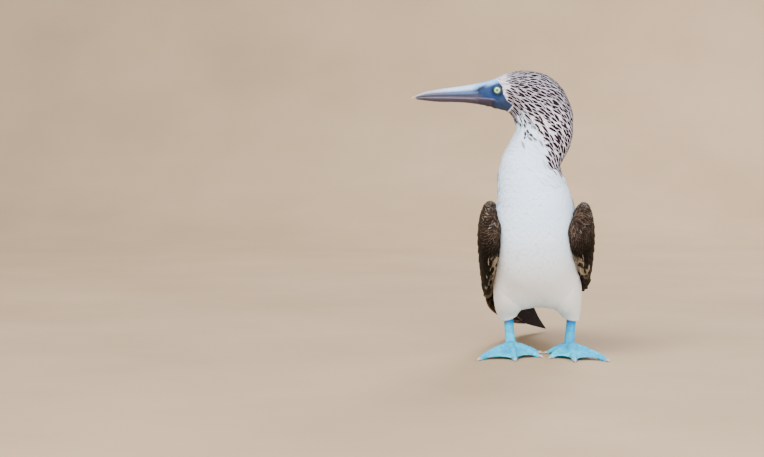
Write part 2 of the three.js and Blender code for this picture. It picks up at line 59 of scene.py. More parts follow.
# %% Millimetres to the frame
EYE_MM = np.array([-56.3, -70.0, 349.8])
EYE_RADIUS = 7.0
HEAD_Y = -57.0
SOLE_Z = -4.0
low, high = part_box("eye_left")
SHIFT = (np.array(low) + np.array(high)) * 500 - EYE_MM


def metres(points):
    return (np.asarray(points, float) + SHIFT) / 1000


def unit(vectors):
    return vectors / np.maximum(np.linalg.norm(vectors, axis=-1, keepdims=True), 1e-9)


def dot(a, b):
    return (a * b).sum(-1, keepdims=True)


def blend(a, b, amount):
    amount = np.asarray(amount)[..., None]
    return a * (1 - amount) + b * amount


def ease(x, low, high):
    """0 below low, 1 above high, and a smooth rise between."""
    t = np.clip((x - low) / (high - low), 0, 1)
    return t * t * (3 - 2 * t)


print("shift in mm:", SHIFT.round(2))

# %% [markdown]
# ## Camera
#
# The photo was taken from a little above the bird's feet with a long lens, as wild birds need, so lines
# hardly converge. A distance of about three metres gives this look. The bird stands right of the
# middle of the picture, so the camera is aimed past it instead of being moved sideways.

# %% Camera
DISTANCE = 2.9
WIDE, HIGH = 764, 457
MM_PER_PIXEL = 1.35
FOCAL = DISTANCE * 1000 / MM_PER_PIXEL
STANCE_PIXEL = (540.5, 352.5)
RISE = math.radians(7.6)

camera_data = bpy.data.cameras.new("camera")
camera_data.sensor_width = 36
camera_data.lens = camera_data.sensor_width * FOCAL / WIDE
camera = bpy.data.objects.new("camera", camera_data)
bpy.context.scene.collection.objects.link(camera)
bpy.context.scene.camera = camera
stance = Vector(metres([0, 0, SOLE_Z]))
camera.location = stance + Vector((0, -DISTANCE * math.cos(RISE), DISTANCE * math.sin(RISE)))
pitch = RISE - math.atan((STANCE_PIXEL[1] - HIGH / 2) / FOCAL)
yaw = math.atan((STANCE_PIXEL[0] - WIDE / 2) / FOCAL)
camera.rotation_euler = (math.pi / 2 - pitch, 0, yaw)
print("lens", round(camera_data.lens, 1), "mm, tilted down", round(math.degrees(pitch), 1), "degrees")

# %% [markdown]
# ## Surfaces that can be asked questions
#
# Feathers are laid on a form, so the form has to say where it is, which way it faces and how far a step
# along it goes. A Surface keeps a grid of points and reads it anywhere, with u along the form and v across
# or round it. A smooth spline through a few stations makes the grid.

# %% Curves and surfaces
def through(stations, count):
    """Reads a smooth curve through the stations at count even steps."""
    stations = np.asarray(stations, float)
    ends = np.vstack([2 * stations[0] - stations[1], stations, 2 * stations[-1] - stations[-2]])
    t = np.linspace(0, len(stations) - 1, count)
    i = np.minimum(t.astype(int), len(stations) - 2)
    f = (t - i)[:, None]
    a, b, c, d = ends[i], ends[i + 1], ends[i + 2], ends[i + 3]
    return 0.5 * (2 * b + (c - a) * f + (2 * a - 5 * b + 4 * c - d) * f**2 + (3 * b - a - 3 * c + d) * f**3)


def tree_of(points):
    """A tree that finds near points fast."""
    tree = KDTree(len(points))
    for number, place in enumerate(points):
        tree.insert(place, number)
    tree.balance()
    return tree


class Surface:
    """A grid of points in mm, u along its rows from 0 to 1, v round or across its columns from 0 to 1."""

    def __init__(self, grid, closed=True, flip=False):
        self.grid = grid
        self.closed = closed
        self.flip = flip
        rows, columns = grid.shape[:2]
        self.du = np.gradient(grid, axis=0) * (rows - 1)
        if closed:
            self.dv = (np.roll(grid, -1, axis=1) - np.roll(grid, 1, axis=1)) / 2 * columns
        else:
            self.dv = np.gradient(grid, axis=1) * (columns - 1)
        self.normal = unit(np.cross(self.du, self.dv)) * (-1 if flip else 1)

    def read(self, table, u, v):
        rows, columns = self.grid.shape[:2]
        x = np.clip(u, 0, 1) * (rows - 1)
        i = np.minimum(x.astype(int), rows - 2)
        y = (v % 1) * columns if self.closed else np.clip(v, 0, 1) * (columns - 1)
        j = np.minimum(y.astype(int), columns - 1 if self.closed else columns - 2)
        k = (j + 1) % columns
        fx, fy = (x - i)[..., None], (y - j)[..., None]
        near = table[i, j] * (1 - fy) + table[i, k] * fy
        far = table[i + 1, j] * (1 - fy) + table[i + 1, k] * fy
        return near * (1 - fx) + far * fx

    def point(self, u, v):
        """The point at u, v. Past either end it goes straight on."""
        spare = (u - np.clip(u, 0, 1))[..., None]
        return self.read(self.grid, u, v) + spare * self.read(self.du, u, v)

    def facing(self, u, v):
        return unit(self.read(self.normal, u, v))

    def onward(self, u, v):
        """The direction of growing u."""
        return unit(self.read(self.du, u, v))

    def evenly(self, gaps, flow, rng, chosen=None):
        """Roots that keep apart. A crowd is scattered by area, and each root that stays clears away the
        others inside an oval of gaps(u), which is long along the flow and short across it."""
        rows, columns = self.grid.shape[:2]
        uu, vv = np.meshgrid(np.linspace(0, 1, rows), np.arange(columns) / columns, indexing="ij")
        long, short = gaps(uu)
        crowd = np.linalg.norm(np.cross(self.du, self.dv), axis=-1) / (rows * columns) / (long * short) * 6
        if chosen is not None:
            crowd = crowd * chosen(uu, vv)
        total = np.cumsum(crowd.ravel())
        cells = np.searchsorted(total, rng.random(int(total[-1])) * total[-1])
        u = np.clip((cells // columns + rng.random(len(cells)) - 0.5) / (rows - 1), 0, 1)
        v = (cells % columns + rng.random(len(cells)) - 0.5) / columns % 1
        at, ahead = self.point(u, v), flow(u, v)
        aside = np.cross(self.facing(u, v), ahead)
        long, short = gaps(u)
        tree, free = tree_of(at), np.ones(len(u), bool)
        kept = []
        for i in range(len(u)):
            if free[i]:
                kept.append(i)
                near = np.array([found[1] for found in tree.find_range(at[i], long[i])])
                away = at[near] - at[i]
                oval = (away @ ahead[i] / long[i]) ** 2 + (away @ aside[i] / short[i]) ** 2
                free[near[oval < 1]] = False
        return u[kept], v[kept]


print("surfaces are ready")

# %% [markdown]
# ## Small colour and mesh helpers
#
# A maker mixes colours on a screen, but a renderer adds up light, so screen colours are turned
# into linear ones once, here. Meshes are made straight from arrays, which is quick even for many feathers.

# %% Helpers
def paint(text):
    """A screen colour such as "8fa3b8" as linear red, green and blue."""
    raw = np.array([int(text[i : i + 2], 16) / 255 for i in (0, 2, 4)])
    return np.where(raw < 0.04045, raw / 12.92, ((raw + 0.055) / 1.055) ** 2.4)


def rgba(text):
    return (*paint(text), 1.0)


def smoothed(thing, material):
    """Gives a thing its one material and smooth shading."""
    thing.data.materials.clear()
    thing.data.materials.append(material)
    thing.data.polygons.foreach_set("use_smooth", [True] * len(thing.data.polygons))


def piece(name, points_mm, faces, material):
    mesh = bpy.data.meshes.new(name)
    mesh.from_pydata(metres(points_mm).tolist(), [], faces)
    thing = bpy.data.objects.new(name, mesh)
    smoothed(thing, material)
    bpy.context.scene.collection.objects.link(thing)
    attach(thing, "root")
    return thing


def worked(thing, kind, **settings):
    """One modifier, set and applied."""
    step = thing.modifiers.new(kind, kind)
    for key, value in settings.items():
        setattr(step, key, value)
    with bpy.context.temp_override(object=thing, active_object=thing):
        bpy.ops.object.modifier_apply(modifier=step.name)


def colour_layer(thing, name, colours):
    layer = thing.data.attributes.new(name, "FLOAT_COLOR", "POINT")
    full = np.ones((len(colours), 4), np.float32)
    full[:, :3] = colours
    layer.data.foreach_set("color", full.ravel())


def uv_layer(thing, name, corners):
    layer = thing.data.uv_layers.new(name=name)
    layer.data.foreach_set("uv", np.asarray(corners, np.float32).ravel())


def grid_faces(rows, columns, closed=True, flip=False):
    faces = []
    for i in range(rows - 1):
        for j in range(columns if closed else columns - 1):
            k = (j + 1) % columns
            quad = [i * columns + j, (i + 1) * columns + j, (i + 1) * columns + k, i * columns + k]
            faces.append(quad[::-1] if flip else quad)
    return faces


def end_faces(rows, columns):
    """The two flat ends of a closed grid of faces."""
    return [tuple(range(columns)), tuple((rows - 1) * columns + j for j in range(columns))[::-1]]


print("helpers are ready")

# %% [markdown]
# ## Writing materials as sums
#
# A material is a small calculation for each point of a surface. Written as nodes it is hard to read, so
# this class lets a socket be used like a number: it adds, multiplies and compares, and each step becomes
# one Math node. Anything else, such as a noise or a ramp, comes from one method.

# %% Socket class and materials
class Socket:
    def __init__(self, finish, link):
        self.finish, self.link = finish, link

    def _math(self, operation, *values):
        return self.finish.node("ShaderNodeMath", {"operation": operation}, dict(enumerate(values)))

    def __add__(self, other):
        return self._math("ADD", self, other)

    __radd__ = __add__

    def __mul__(self, other):
        return self._math("MULTIPLY", self, other)

    __rmul__ = __mul__

    def __sub__(self, other):
        return self._math("SUBTRACT", self, other)

    def __rsub__(self, other):
        return self._math("SUBTRACT", other, self)

    def __truediv__(self, other):
        return self._math("DIVIDE", self, other)

    def __rtruediv__(self, other):
        return self._math("DIVIDE", other, self)

    def __pow__(self, other):
        return self._math("POWER", self, other)

    def __abs__(self):
        return self._math("ABSOLUTE", self)

    def sine(self):
        return self._math("SINE", self)

    def rise(self, low, high):
        """0 below low and 1 above high, smooth between."""
        values = {"Value": self, "From Min": low, "From Max": high}
        return self.finish.node("ShaderNodeMapRange", {"interpolation_type": "SMOOTHSTEP"}, values)


class Finish:
    """A material under construction."""

    def __init__(self, name, **constants):
        self.material = bpy.data.materials.new(name)
        self.material.use_nodes = True
        self.tree = self.material.node_tree
        self.shader = self.tree.nodes["Principled BSDF"]
        for key, value in constants.items():
            self.shader.inputs[key.replace("_", " ")].default_value = value

    def node(self, kind, settings, inputs, output=0):
        made = self.tree.nodes.new(kind)
        for key, value in settings.items():
            if key == "stops":
                ramp = made.color_ramp
                while len(ramp.elements) < len(value):
                    ramp.elements.new(0.5)
                for element, (place, colour) in zip(ramp.elements, value):
                    element.position, element.color = place, colour
            else:
                setattr(made, key, value)
        for key, value in inputs.items():
            if isinstance(value, Socket):
                self.tree.links.new(value.link, made.inputs[key])
            else:
                made.inputs[key].default_value = value
        return Socket(self, made.outputs[output])

    def attribute(self, name):
        return self.node("ShaderNodeAttribute", {"attribute_name": name}, {}, "Color")

    def uv(self, name):
        return self.node("ShaderNodeUVMap", {"uv_map": name}, {})

    def split(self, vector, axis):
        return self.node("ShaderNodeSeparateXYZ", {}, {0: vector}, axis)

    def place(self):
        """The point's own place on the object, in metres, which moves with it."""
        return self.node("ShaderNodeTexCoord", {}, {}, "Object")

    def noise(self, vector, scale, detail=3.0):
        values = {"Vector": vector, "Scale": scale, "Detail": detail, "Roughness": 0.55}
        return self.node("ShaderNodeTexNoise", {}, values)

    def cells(self, vector, scale, feature="F1", output="Distance"):
        values = {"Vector": vector, "Scale": scale}
        return self.node("ShaderNodeTexVoronoi", {"feature": feature}, values, output)

    def stretch(self, vector, scale):
        return self.node("ShaderNodeMapping", {}, {"Vector": vector, "Scale": scale})

    def mix(self, factor, a, b, kind="MIX"):
        settings = {"data_type": "RGBA", "blend_type": kind}
        return self.node("ShaderNodeMix", settings, {0: factor, 6: a, 7: b}, 2)

    def toned(self, colour, tone):
        """The colour times a number near 1, which makes it lighter or darker."""
        grey = self.node("ShaderNodeCombineColor", {}, {0: tone, 1: tone, 2: tone})
        return self.mix(1.0, colour, grey, "MULTIPLY")

    def ramp(self, factor, *stops):
        return self.node("ShaderNodeValToRGB", {"stops": stops}, {0: factor})

    def bump(self, height, strength, distance):
        values = {"Height": height, "Strength": strength, "Distance": distance}
        self.feed("Normal", self.node("ShaderNodeBump", {}, values))

    def feed(self, name, socket):
        self.tree.links.new(socket.link, self.shader.inputs[name])


print("materials can be written as sums")

# %% [markdown]
# ## The skin
#
# Under its feathers a bird has one skin over trunk, neck and head. The form is the frame's own: stations
# from the root of the tail to the root of the bill, each with a point on the belly or throat, a point on
# the back or crown, and half a width. The neck turns a quarter round on its way up, because the bird
# looks over its right side. A loft through fine rings is smoother than remeshing the faceted solids.

# %% Stations of the body
TRUNK = [
    # belly (y, z), back (y, z), half width, x
    ((146, 68), (158, 92), 23, -5),
    ((106, 60), (134, 118), 38, -5),
    ((58, 56), (100, 150), 50, -5),
    ((8, 57.5), (68, 180), 54.5, -5),
    ((-42, 72), (40, 204), 57, -4.5),
    ((-85, 101), (18, 220), 55.5, -5),
    ((-109, 143), (1, 231), 52, -7),
    ((-115, 183), (-14, 236), 48, -9.5),
]
NECK = [
    # x, y, z, tilt, half depth, half width, turn
    (-12.5, -65, 227, 17, 46, 43, 12),
    (-14, -63, 247, 8, 41, 39, 36),
    (-8, -60, 264.5, 5, 44, 34.5, 62),
    (0, -58, 284, 4, 41, 32, 82),
]
HEAD = [
    # throat (x, z), crown (x, z), half width
    ((-32, 297.5), (41.5, 303), 32),
    ((-33, 303.5), (41.5, 318), 32.5),
    ((-34.5, 309.5), (36.5, 334), 32.5),
    ((-36, 314), (26.5, 353), 31),
    ((-38.5, 317.5), (10, 367.5), 28.5),
    ((-42, 320), (-9, 373.4), 26),
    ((-46, 322), (-27, 374.5), 23.5),
    ((-51, 323.8), (-44.5, 370.8), 21),
    ((-57.5, 325), (-58.5, 365.2), 18),
    ((-68, 328), (-70.5, 360.9), 13.8),
    ((-81, 330.8), (-81, 358.7), 11.2),
]


def body_stations():
    for under, over, half, x in TRUNK:
        yield (x, *under, x, *over, half)
    for x, y, z, tilt, deep, half, turn in NECK:
        angle, rise = math.radians(turn), deep * math.tan(math.radians(tilt))
        reach = np.array([-math.sin(angle) * deep, -math.cos(angle) * deep, -rise])
        middle = np.array([x, y, z])
        yield (*(middle + reach), *(middle - reach), half)
    for under, over, half in HEAD:
        yield (under[0], HEAD_Y, under[1], over[0], HEAD_Y, over[1], half)


def body_surface(rows=300, columns=128):
    read = through(list(body_stations()), rows)
    under, over, half = read[:, :3], read[:, 3:6], read[:, 6:]
    middle, up = (under + over) / 2, unit(over - under)
    side = unit(np.cross(np.gradient(middle, axis=0), up))
    turn = np.arange(columns) / columns * 2 * math.pi
    power = (0.76 + 0.24 * ease(np.linspace(0, 1, rows), 0.18, 0.42))[:, None]
    across = lambda w: np.sign(w)[None] * np.abs(w)[None] ** power
    high = across(np.cos(turn)) * np.linalg.norm(over - under, axis=1, keepdims=True) / 2
    wide = across(np.sin(turn)) * half * (1 - 0.07 * np.cos(turn))
    grid = middle[:, None] + up[:, None] * high[..., None] + side[:, None] * wide[..., None]
    return Surface(grid, flip=True)


body = body_surface()
print("the back faces up:", body.normal[60, 0].round(2))
print("and the left flank out:", body.normal[60, 96].round(2))

# %% [markdown]
# ## Markings
#
# The head and hind neck are streaked: each feather there has a dark middle and a pale rim. Towards the
# foreneck the streaks thin out into white. The back is brown with pale tips, with white at its top and
# over the rump, and the rest of the body is white. One function paints skin and feathers alike, so that
# a gap in the coat never shows a wrong colour.

# %% Painting by place
# WHITE carries a blue tint of painted sky light; WARM_WHITE is warm partly by its own tone and partly as
# painted bounce light from the ground
WHITE, WARM_WHITE = paint("e4f0ff"), paint("f6ecdf")
STREAK, STREAK_RIM = paint("1e1016"), paint("e2d6de")
BROWN, BROWN_RIM = paint("1c120c"), paint("6a5a4c")
CHIN_SPOT, SPOT_RADIUS = np.array([-37.0, -64.0, 313.0]), 8
FACE_EDGE = np.array([
    # z, x
    (300, -47), (318, -47), (330.5, -36.5), (336, -44), (344, -49), (355, -50.5), (362, -57), (376, -65),
    (390, -65)
])


def bare(points):
    """How far in front of the feathers' edge a point of the head lies, in mm; above 0 is bare face."""
    edge = np.interp(points[:, 2], FACE_EDGE[:, 0], FACE_EDGE[:, 1])
    return np.where(points[:, 2] > 300, edge - points[:, 0], -50.0)


def white_with_painted_light(points):
    """The white of the coat: cool on the neck as painted sky light, and warm on belly and thighs, partly
    their own tone and partly painted bounce light from the ground.
    """
    return blend(WARM_WHITE[None], WHITE[None], ease(points[:, 2], 55, 200))


def from_back(v):
    """0 along the back's middle line and 0.5 along the belly's."""
    return np.minimum(v % 1, 1 - v % 1)


def streak_reach(u):
    """How far down from the back's middle line the streaked feathers go."""
    at = [0.33, 0.345, 0.37, 0.393, 0.441, 0.478, 0.512, 0.589, 0.662, 0.746, 0.8]
    return np.interp(u, at, [-0.3, 0.0, 0.12, 0.27, 0.258, 0.266, 0.281, 0.328, 0.359, 0.4, 0.56])


def markings(u, v, points, rng=None):
    """Core and rim colour, how streaked the place is and how brown."""
    chance = rng.random(len(u)) if rng is not None else np.full(len(u), 0.5)
    spare = streak_reach(u) - from_back(v)
    streaked = ease(spare + 0.04 * (chance - 0.5), -0.012, 0.02)
    brown = ease(0.2 + 0.05 * chance - from_back(v), -0.02, 0.02) * ease(u + 0.02 * chance, 0.1, 0.125)
    brown = brown * (1 - ease(u + 0.03 * chance, 0.315, 0.34))
    # the white carries painted light: a cool tint of sky light above and a warm tint of ground bounce below
    white = white_with_painted_light(points)
    # the feathers next to the bare face are almost white, and so is the forehead
    band = np.interp(points[:, 2], [340, 350, 360, 368], [1, 3, 9, 22])
    pale = 0.9 * ease(bare(points), -band, -0.3 * band)
    # a few dark flecks stray down the throat, and one small spot at the angle of the chin is painted dark
    fleck = (chance < 0.75 * ease(spare, -0.17, 0)) * ease(points[:, 2], 280, 292)
    spot = ease(SPOT_RADIUS - np.linalg.norm(points - CHIN_SPOT, axis=1), 0, 2)
    dark = STREAK[None] * (0.7 + 0.8 * chance[:, None])
    core = blend(blend(white, BROWN[None], brown), blend(dark, STREAK_RIM[None], pale), streaked)
    core = blend(core, dark, np.maximum(0.96 * fleck * (1 - streaked), spot))
    rim = blend(blend(white, BROWN_RIM[None], brown), STREAK_RIM[None], streaked)
    return core, blend(rim, dark, 0.8 * spot), streaked, brown


print("markings are ready")

# %% [markdown]
# ## Feather material
#
# A feather's vane is a comb of fine barbs that leave the shaft at an angle. Its middle and its rim have
# their own colours here, kept on the feather itself, and the border between them is a soft wave. The fine
# ribbing is too small to model, so it is bump, with a slight change of tone from barb to barb.

# %% Feather material
def feather_finish(name, roughness, shine, barbs, core_width, soft, mottle, shaft=0.0):
    made = Finish(name, Roughness=roughness, Specular_IOR_Level=shine)
    local = made.uv("Vane")
    across, along = made.split(local, 0), made.split(local, 1)
    aside = abs(across - 0.5) * 2
    grain = made.noise(made.place(), 900)
    edge = aside + (grain - 0.5) * 0.22 + along.rise(0.7, 1.0) * 0.4
    centre = 1 - edge.rise(core_width - soft, core_width + soft)
    colour = made.mix(centre, made.attribute("rim"), made.attribute("core"))
    ribs = ((along * barbs + aside * (barbs * 0.28)) * math.tau).sine()
    tone = ribs * (mottle * 0.2) + (grain - 0.5) * mottle + 1.0
    colour = made.toned(colour, tone)
    if shaft:
        line = (1 - aside.rise(0.03, 0.09)) * shaft
        colour = made.mix(line, colour, rgba("40342c"))
    made.feed("Base Color", colour)
    made.bump(ribs * 0.5 + grain, 0.3, 0.00015)
    return made.material


white_feather = feather_finish("white feather", 0.9, 0.1, 14, 0.5, 0.2, 0.04)
streak_feather = feather_finish("streaked feather", 0.9, 0.05, 18, 0.68, 0.12, 0.2)
vane_feather = feather_finish("vane feather", 0.6, 0.05, 46, 0.8, 0.14, 0.35, shaft=0.2)
print("three feather materials")

# %% [markdown]
# ## Laying feathers
#
# A body feather is a small closed blade: two edges and a raised shaft on top, and a flat underside. It
# could be placed as a stiff copy of one model, but then long feathers would stab into a curved body. So
# each blade is walked out from its root along the surface in short steps, with its tip a little higher
# than its root, and the next row covers the roots, as tiles do on a roof.

# %% Feather layer
def lay(name, surface, u, v, flow, length, width, colours, **how):
    """One mesh of many vanes that follow the flow, a function of u and v. how may hold rows, ribs,
    heading, sink, lift, rise, crown, camber and shape, and holds the material; the slot it also holds is not
    used."""
    rows, ribs = how.get("rows", 5), how.get("ribs", 3)
    heading = np.broadcast_to(how.get("heading", 0.0), u.shape)
    sink, lift = (np.broadcast_to(how.get(key, 0.5), u.shape)[:, None] for key in ("sink", "lift"))
    crown, camber = how.get("crown", 0.5), how.get("camber", 0.0)
    shape = how.get("shape", (0.3, 0.85, 1.0, 0.8, 0.12))
    shape = np.interp(np.linspace(0, 1, rows), np.linspace(0, 1, len(shape)), shape)
    length = np.broadcast_to(length, u.shape)[:, None]
    width = np.broadcast_to(width, u.shape)[:, None]
    cosine, sine = np.cos(heading)[:, None], np.sin(heading)[:, None]
    fractions = np.linspace(-1, 1, ribs)
    points = np.empty((len(u), rows, ribs, 3))
    here_u, here_v = u.astype(float).copy(), v.astype(float).copy()
    for row in range(rows):
        a = row / (rows - 1)
        at, normal = surface.point(here_u, here_v), surface.facing(here_u, here_v)
        ahead = flow(here_u, here_v)
        ahead = ahead * cosine + np.cross(normal, ahead) * sine
        left = unit(np.cross(normal, ahead))
        height = -sink + (sink + lift) * (a ** how.get("rise", 0.7))
        half = width / 2 * shape[row]
        for j, fraction in enumerate(fractions):
            top = crown * (1 - abs(fraction)) * min(1, 0.4 + a * 2) * shape[row] - camber * fraction**2
            points[:, row, j] = at - left * half * fraction + normal * (height + top)
        step = ahead * length / (rows - 1)
        su, sv = surface.read(surface.du, here_u, here_v), surface.read(surface.dv, here_u, here_v)
        uu, uv, vv = dot(su, su), dot(su, sv), dot(sv, sv)
        pu, pv = dot(su, step), dot(sv, step)
        det = np.maximum(uu * vv - uv * uv, 1e-6)
        here_u = here_u + ((vv * pu - uv * pv) / det)[:, 0]
        here_v = here_v + ((uu * pv - uv * pu) / det)[:, 0]
    return blades(name, points, u, v, colours, how)


TUFT = 0.003


def blades(name, points, u, v, colours, how):
    """Joins closed blades of rows and ribs into one piece, with colours and two UV maps."""
    count, rows, ribs = points.shape[:3]
    base = []
    for row in range(rows - 1):
        a, b = row * ribs, (row + 1) * ribs
        base += [(a + j + 1, b + j + 1, b + j, a + j) for j in range(ribs - 1)]
        base.append((a, b, b + ribs - 1, a + ribs - 1))
    base.append(tuple(range(ribs - 1, -1, -1)))
    base.append(tuple((rows - 1) * ribs + j for j in range(ribs)))
    size = rows * ribs
    faces = [tuple(k * size + i for i in face) for k in range(count) for face in base]
    thing = piece(name, points.reshape(-1, 3), faces, how["material"])
    thing.data.set_sharp_from_angle(angle=1.0)
    core, rim = colours
    colour_layer(thing, "core", np.repeat(core, size, axis=0))
    colour_layer(thing, "rim", np.repeat(rim, size, axis=0))
    across = np.tile(np.linspace(0, 1, ribs), rows)
    along = np.repeat(np.linspace(0, 1, rows), ribs)
    local = np.tile(np.stack([across, along], 1), (count, 1))
    root = np.repeat(np.stack([v % 1, np.clip(u, 0, 1)], 1), size, axis=0)
    index = np.empty(len(thing.data.loops), np.int32)
    thing.data.loops.foreach_get("vertex_index", index)
    uv_layer(thing, "OFBake", (root + (local - 0.5) * TUFT)[index])
    uv_layer(thing, "Vane", local[index])
    print(f"{name}: {count} vanes, {len(base) * count} faces")
    return thing


print("feathers can be laid")

# %% [markdown]
# The two thighs are short feathered columns that come out of the belly. They are surfaces of their own
# for laying feathers. Where belly and thighs come near each other, both are pushed out a little, as thick
# plumage fills such a fold, while the flanks and the hem keep their line.

# %% Thighs
LEGS = {"left": 40, "right": -39}
THIGH = {
    "left": [(31, -12, 112), (35.5, -14, 86), (39.5, 1, 62), (42.5, 13, 40)],
    "right": [(-38, -12, 112), (-41.5, -14, 86), (-43.5, 1, 62), (-41.5, 13, 40)],
}
THIGH_WIDE, THIGH_DEEP = np.array([19, 19, 16, 10.5]), np.array([30, 28, 21, 9.5])
HEM, HEM_SLOPE = 44.8, 0.22
# the swelling fades away between these distances from the trunk's middle, and between these heights
TRUNK_X, FLANK_FADE, HEM_FADE = -3, (44, 58), (42, 58)


def limb_grid(path, wide, deep, rows=44, columns=40):
    middle = through(path, rows)
    sizes = through(np.stack([wide, deep], 1), rows)
    ahead = unit(np.gradient(middle, axis=0))
    side = unit(np.array([1.0, 0, 0]) - ahead * ahead[:, :1])
    up = np.cross(side, ahead)
    turn = np.arange(columns) / columns * 2 * math.pi
    grid = middle[:, None] + side[:, None] * (np.cos(turn)[None, :, None] * sizes[:, None, :1])
    return grid + up[:, None] * (np.sin(turn)[None, :, None] * sizes[:, None, 1:])


def hem(side, x):
    """The height at which the feathers of the leg end; they hang lower on its outer side."""
    return HEM - HEM_SLOPE * math.copysign(1, LEGS[side]) * (x - LEGS[side])


def thigh_surface(side):
    grid = limb_grid(THIGH[side], THIGH_WIDE, THIGH_DEEP)
    grid = grid[grid[:, :, 2].mean(axis=1) > HEM]
    share = np.linspace(0, 1, len(grid))[:, None]
    grid[..., 2] += share * (hem(side, grid[..., 0]) - HEM)
    return Surface(grid)


def swollen(surface, others, reach=32.0):
    """The surface pushed out where it comes near another one, which softens the fold between them."""
    flat, swell = surface.grid.reshape(-1, 3), 0
    for other in others:
        tree = tree_of(other.grid.reshape(-1, 3))
        gap = np.array([tree.find(place)[2] for place in flat])
        swell = swell + np.clip(reach - gap, 0, None) ** 2 / (4 * reach)
    swell = swell * (1 - 0.7 * ease(abs(flat[:, 0] - TRUNK_X), *FLANK_FADE)) * ease(flat[:, 2], *HEM_FADE)
    swell = np.reshape(swell, surface.grid.shape[:2] + (1,))
    return Surface(surface.grid + surface.normal * swell, flip=surface.flip)


limbs = {side: thigh_surface(side) for side in LEGS}
thighs = {side: swollen(limb, [body]) for side, limb in limbs.items()}
body = swollen(body, limbs.values())
print("thigh rows", thighs["left"].grid.shape)

# %% [markdown]
# The skin lies well inside the form under the streaked and the brown coat, and close to it under the
# sleek white one, so that no gap between feathers looks dark. Under the bare face, which has a piece of
# its own, it lies deepest. The thighs are joined to it as a union, so that it is one mesh, and it carries
# the same markings as the feathers above it.

# %% Skin
DEEP, SHALLOW, UNDER_FACE = 2.45, 0.95, 1.4
skin_finish = Finish("skin", Roughness=0.8)
skin_grain = skin_finish.noise(skin_finish.place(), 500)
tone = skin_finish.mix(skin_grain * 0.3, skin_finish.attribute("core"), rgba("d5cfcb"))
skin_finish.feed("Base Color", tone)
skin_finish.bump(skin_grain, 0.3, 0.0003)


def skin():
    rows, columns = body.grid.shape[:2]
    flat = body.grid.reshape(-1, 3)
    u, v = np.meshgrid(np.linspace(0, 1, rows), np.arange(columns) / columns, indexing="ij")
    streaked, brown = markings(u.ravel(), v.ravel(), flat)[2:]
    depth = SHALLOW + (DEEP - SHALLOW) * np.maximum(streaked, brown)
    depth = depth + UNDER_FACE * ease(bare(flat), -1.0, 3.0)
    points = flat - body.normal.reshape(-1, 3) * depth[:, None]
    faces = grid_faces(rows, columns) + end_faces(rows, columns)
    thing = piece("skin", points, faces, skin_finish.material)
    for side in LEGS:
        column = thighs[side].grid - thighs[side].normal * SHALLOW
        steps, sides = column.shape[:2]
        faces = grid_faces(steps, sides, flip=True) + [face[::-1] for face in end_faces(steps, sides)]
        part = piece("part", column.reshape(-1, 3), faces, skin_finish.material)
        worked(thing, "BOOLEAN", operation="UNION", object=part, solver="EXACT")
        bpy.data.objects.remove(part, do_unlink=True)
    return thing


def places_of(thing):
    places = np.empty(len(thing.data.vertices) * 3, np.float32)
    thing.data.vertices.foreach_get("co", places)
    return places.reshape(-1, 3).astype(float) * 1000 - SHIFT


def nearest_uv(points, surface, step=4):
    """The u, v of the surface's nearest grid point, for points that lie close to it."""
    grid = surface.grid[::step, ::step]
    tree = tree_of(grid.reshape(-1, 3))
    found = np.array([tree.find(p)[1] for p in points])
    rows, columns = surface.grid.shape[:2]
    return found // grid.shape[1] * step / (rows - 1), found % grid.shape[1] * step / columns


body_skin = skin()
skin_points = places_of(body_skin)
skin_u, skin_v = nearest_uv(skin_points, body)
core, rim, streaked = markings(skin_u, skin_v, skin_points)[:3]
colour_layer(body_skin, "core", blend(core, rim, 0.7 * streaked))
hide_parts("torso", "neck", "head", "thigh_left", "thigh_right")
print("skin:", len(body_skin.data.polygons), "faces")

# %% [markdown]
# ## The body's coat
#
# Feathers are scattered by area, so that a wide breast gets as many to the square centimetre as a narrow
# neck. They are short and narrow on the crown, long and shaggy on the nape, and broad and flat on the
# breast, where only a faint scalloping shows.

# %% Body feathers
rng = np.random.default_rng(7)


def combed(u, v):
    """The lie of the coat: towards the tail on the body, and on the head a fan that falls more and more
    steeply from the crown to the nape."""
    at, normal = body.point(u, v), body.facing(u, v)
    x, z = at[:, 0], at[:, 2]
    fall = np.radians(8 + 0.42 * (373 - z) + 15 * ease(-10 - x, 0, 15) * ease(320 - z, 0, 8))
    wish = np.stack([np.cos(fall), 0 * fall, -np.sin(fall)], 1)
    wish = blend(-body.onward(u, v), wish, ease(z, 235, 262))
    return unit(wish - normal * dot(wish, normal))


def feathered(u, v, chosen):
    return (bare(body.point(u, v).reshape(-1, 3)).reshape(u.shape) < -0.5) * chosen(u, v)


HEAD_AT = [0.36, 0.42, 0.5, 0.6, 0.7, 0.8, 0.87, 0.93]


def head_size(u):
    """Length and width of a streaked feather, from the foot of the neck to the forehead."""
    long = np.interp(u, HEAD_AT, [17, 17, 17, 16, 15, 13.5, 10.5, 7])
    return long, np.interp(u, HEAD_AT, [5.6, 5.6, 5.6, 5.3, 5, 4.5, 3.6, 2.6])


def stray(core, streaked):
    """1 for a dark fleck outside the streaked coat, which is a smaller feather."""
    return (core.mean(axis=1) < 0.2) * (streaked < 0.5)


